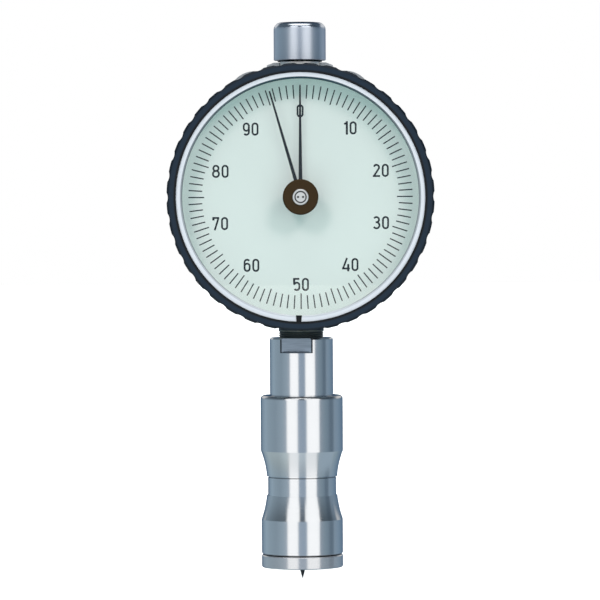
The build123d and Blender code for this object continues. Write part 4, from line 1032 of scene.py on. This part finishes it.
def lay_floor(studio, colours):
    """Lay a wide sheet of white paper at the indenter's tip, lit from below so that shadows stay faint."""
    bpy.ops.object.select_all(action="DESELECT")
    bpy.ops.mesh.primitive_plane_add(size=studio.floor_size, location=(0, 0, TIP_HEIGHT))
    floor = bpy.context.object
    floor.name = "studio_floor"
    glow = {"Emission Color": grey(1.0), "Emission Strength": studio.floor_glow}
    paper = grained_coat(
        colours.paper, {"Specular IOR Level": 0.2, **glow},
        spread=0.01, blotch_size=4.0, grain_size=0.6, depth=0.01, smooth=0.8, rough=0.95, detail=3.0,
    )
    paper.name = "white_paper_sweep"
    floor.data.materials.append(paper)
    floor.visible_glossy = False
    floor.visible_diffuse = False


def stand_camera(scene, studio):
    """Stand the camera square in front of the dial's height, tilted down the barrel."""
    place = Vector((studio.aim_side, -studio.camera_distance, studio.camera_height))
    aim = Vector((studio.aim_side, 0, studio.aim_height))
    look = (aim - place).to_track_quat("-Z", "Y") @ Quaternion((0, 0, 1), -studio.roll)
    bpy.ops.object.camera_add(location=place, rotation=look.to_euler())
    camera = bpy.context.object
    camera.name = "photo_camera"
    camera.data.sensor_width = SENSOR_WIDTH
    camera.data.lens = studio.lens
    camera.data.clip_start = CLIP_NEAR
    camera.data.clip_end = CLIP_FAR
    scene.camera = camera


class DUROMETER_OT_finish_barrel(bpy.types.Operator):
    """Finish the foot, grip, spring housing, neck and what slides inside them"""

    bl_idname = "durometer.finish_barrel"
    bl_label = "Finish barrel"

    def execute(self, context):
        dress(BARREL_NODES, context.scene.durometer_colours)
        return {"FINISHED"}


class DUROMETER_OT_finish_case(bpy.types.Operator):
    """Finish the case, its cover and screws, and the cap on top"""

    bl_idname = "durometer.finish_case"
    bl_label = "Finish case"

    def execute(self, context):
        dress(CASE_NODES, context.scene.durometer_colours)
        return {"FINISHED"}


class DUROMETER_OT_finish_movement(bpy.types.Operator):
    """Finish the plates, gears, arbors and hairspring inside the case"""

    bl_idname = "durometer.finish_movement"
    bl_label = "Finish movement"

    def execute(self, context):
        dress(MOVEMENT_NODES, context.scene.durometer_colours)
        return {"FINISHED"}


class DUROMETER_OT_finish_bezel(bpy.types.Operator):
    """Finish the bezel, its rings, the dial and the clear crystal"""

    bl_idname = "durometer.finish_bezel"
    bl_label = "Finish bezel"

    def execute(self, context):
        dress(BEZEL_NODES, context.scene.durometer_colours)
        return {"FINISHED"}


class DUROMETER_OT_finish_hands(bpy.types.Operator):
    """Finish both hands and the knob of the maximum hand"""

    bl_idname = "durometer.finish_hands"
    bl_label = "Finish hands"

    def execute(self, context):
        dress(HAND_NODES, context.scene.durometer_colours)
        return {"FINISHED"}


class DUROMETER_OT_print_ticks(bpy.types.Operator):
    """Print the ticks round the dial"""

    bl_idname = "durometer.print_ticks"
    bl_label = "Print ticks"

    def execute(self, context):
        sizes = context.scene.durometer_print
        step = 2 * math.pi / sizes.tick_count
        groups = sizes.tick_count // sizes.ticks_per_group
        short_ticks = sizes.ticks_per_group - 1
        shorts = add_tick(sizes, sizes.tick_inner)
        spin_copies(shorts, short_ticks, step)
        long_tick = add_tick(sizes, sizes.long_tick_inner)
        select_only(long_tick, shorts)
        bpy.ops.object.join()
        spin_copies(long_tick, groups - 1, step * sizes.ticks_per_group)
        close_mesh(long_tick)
        printed_piece(long_tick, "dial_ticks", context.scene.durometer_colours)
        return {"FINISHED"}


class DUROMETER_OT_print_numbers(bpy.types.Operator):
    """Print the numbers inside the ring of ticks"""

    bl_idname = "durometer.print_numbers"
    bl_label = "Print numbers"

    def execute(self, context):
        sizes = context.scene.durometer_print
        half_stroke = sizes.digit_stroke / 2
        half_width = sizes.digit_width / 2 - half_stroke
        half_height = sizes.digit_height / 2 - half_stroke
        strokes = digit_strokes(half_width, half_height, half_stroke)
        digits = [add_digit(digit, drawn, sizes) for digit, drawn in enumerate(strokes)]
        copies = []
        for number in range(0, sizes.tick_count, sizes.number_step):
            copies += add_number(number, digits, sizes)
        select_only(*digits)
        bpy.ops.object.delete()
        select_only(*copies)
        bpy.ops.object.join()
        printed_piece(copies[0], "dial_numbers", context.scene.durometer_colours)
        return {"FINISHED"}


class DUROMETER_OT_set_studio(bpy.types.Operator):
    """Lay the floor, light the room and stand the camera"""

    bl_idname = "durometer.set_studio"
    bl_label = "Set studio"

    def execute(self, context):
        scene = context.scene
        scene.view_settings.view_transform = "Standard"
        light_studio(scene, scene.durometer_studio)
        hang_key_lights(scene.durometer_studio)
        lay_floor(scene.durometer_studio, scene.durometer_colours)
        stand_camera(scene, scene.durometer_studio)
        return {"FINISHED"}


OPERATORS = (
    DUROMETER_OT_finish_barrel,
    DUROMETER_OT_finish_case,
    DUROMETER_OT_finish_movement,
    DUROMETER_OT_finish_bezel,
    DUROMETER_OT_finish_hands,
    DUROMETER_OT_print_ticks,
    DUROMETER_OT_print_numbers,
    DUROMETER_OT_set_studio,
)


class DUROMETER_PT_sidebar(bpy.types.Panel):
    """Lists the durometer's steps and the sizes and colours that they use."""

    bl_idname = "DUROMETER_PT_sidebar"
    bl_label = "Dial durometer"
    bl_space_type = "VIEW_3D"
    bl_region_type = "UI"
    bl_category = "Durometer"

    def draw(self, context):
        scene = context.scene
        for operator in OPERATORS:
            self.layout.operator(operator.bl_idname)
        for group in (scene.durometer_print, scene.durometer_colours, scene.durometer_studio):
            box = self.layout.box()
            for name in group.__annotations__:
                box.prop(group, name)


CLASSES = (DialPrint, FinishColours, Studio, *OPERATORS, DUROMETER_PT_sidebar)


def register():
    """Register the classes and hang the settings on the scene."""
    for item in CLASSES:
        bpy.utils.register_class(item)
    bpy.types.Scene.durometer_print = bpy.props.PointerProperty(type=DialPrint)
    bpy.types.Scene.durometer_colours = bpy.props.PointerProperty(type=FinishColours)
    bpy.types.Scene.durometer_studio = bpy.props.PointerProperty(type=Studio)


def unregister():
    """Take the settings off the scene and the classes out again."""
    del bpy.types.Scene.durometer_studio
    del bpy.types.Scene.durometer_colours
    del bpy.types.Scene.durometer_print
    for item in reversed(CLASSES):
        bpy.utils.unregister_class(item)


def main():
    """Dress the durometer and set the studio."""
    register()
    bpy.ops.durometer.finish_barrel()
    bpy.ops.durometer.finish_case()
    bpy.ops.durometer.finish_movement()
    bpy.ops.durometer.finish_bezel()
    bpy.ops.durometer.finish_hands()
    bpy.ops.durometer.print_ticks()
    bpy.ops.durometer.print_numbers()
    bpy.ops.durometer.set_studio()


if __name__ == "__main__":
    main()
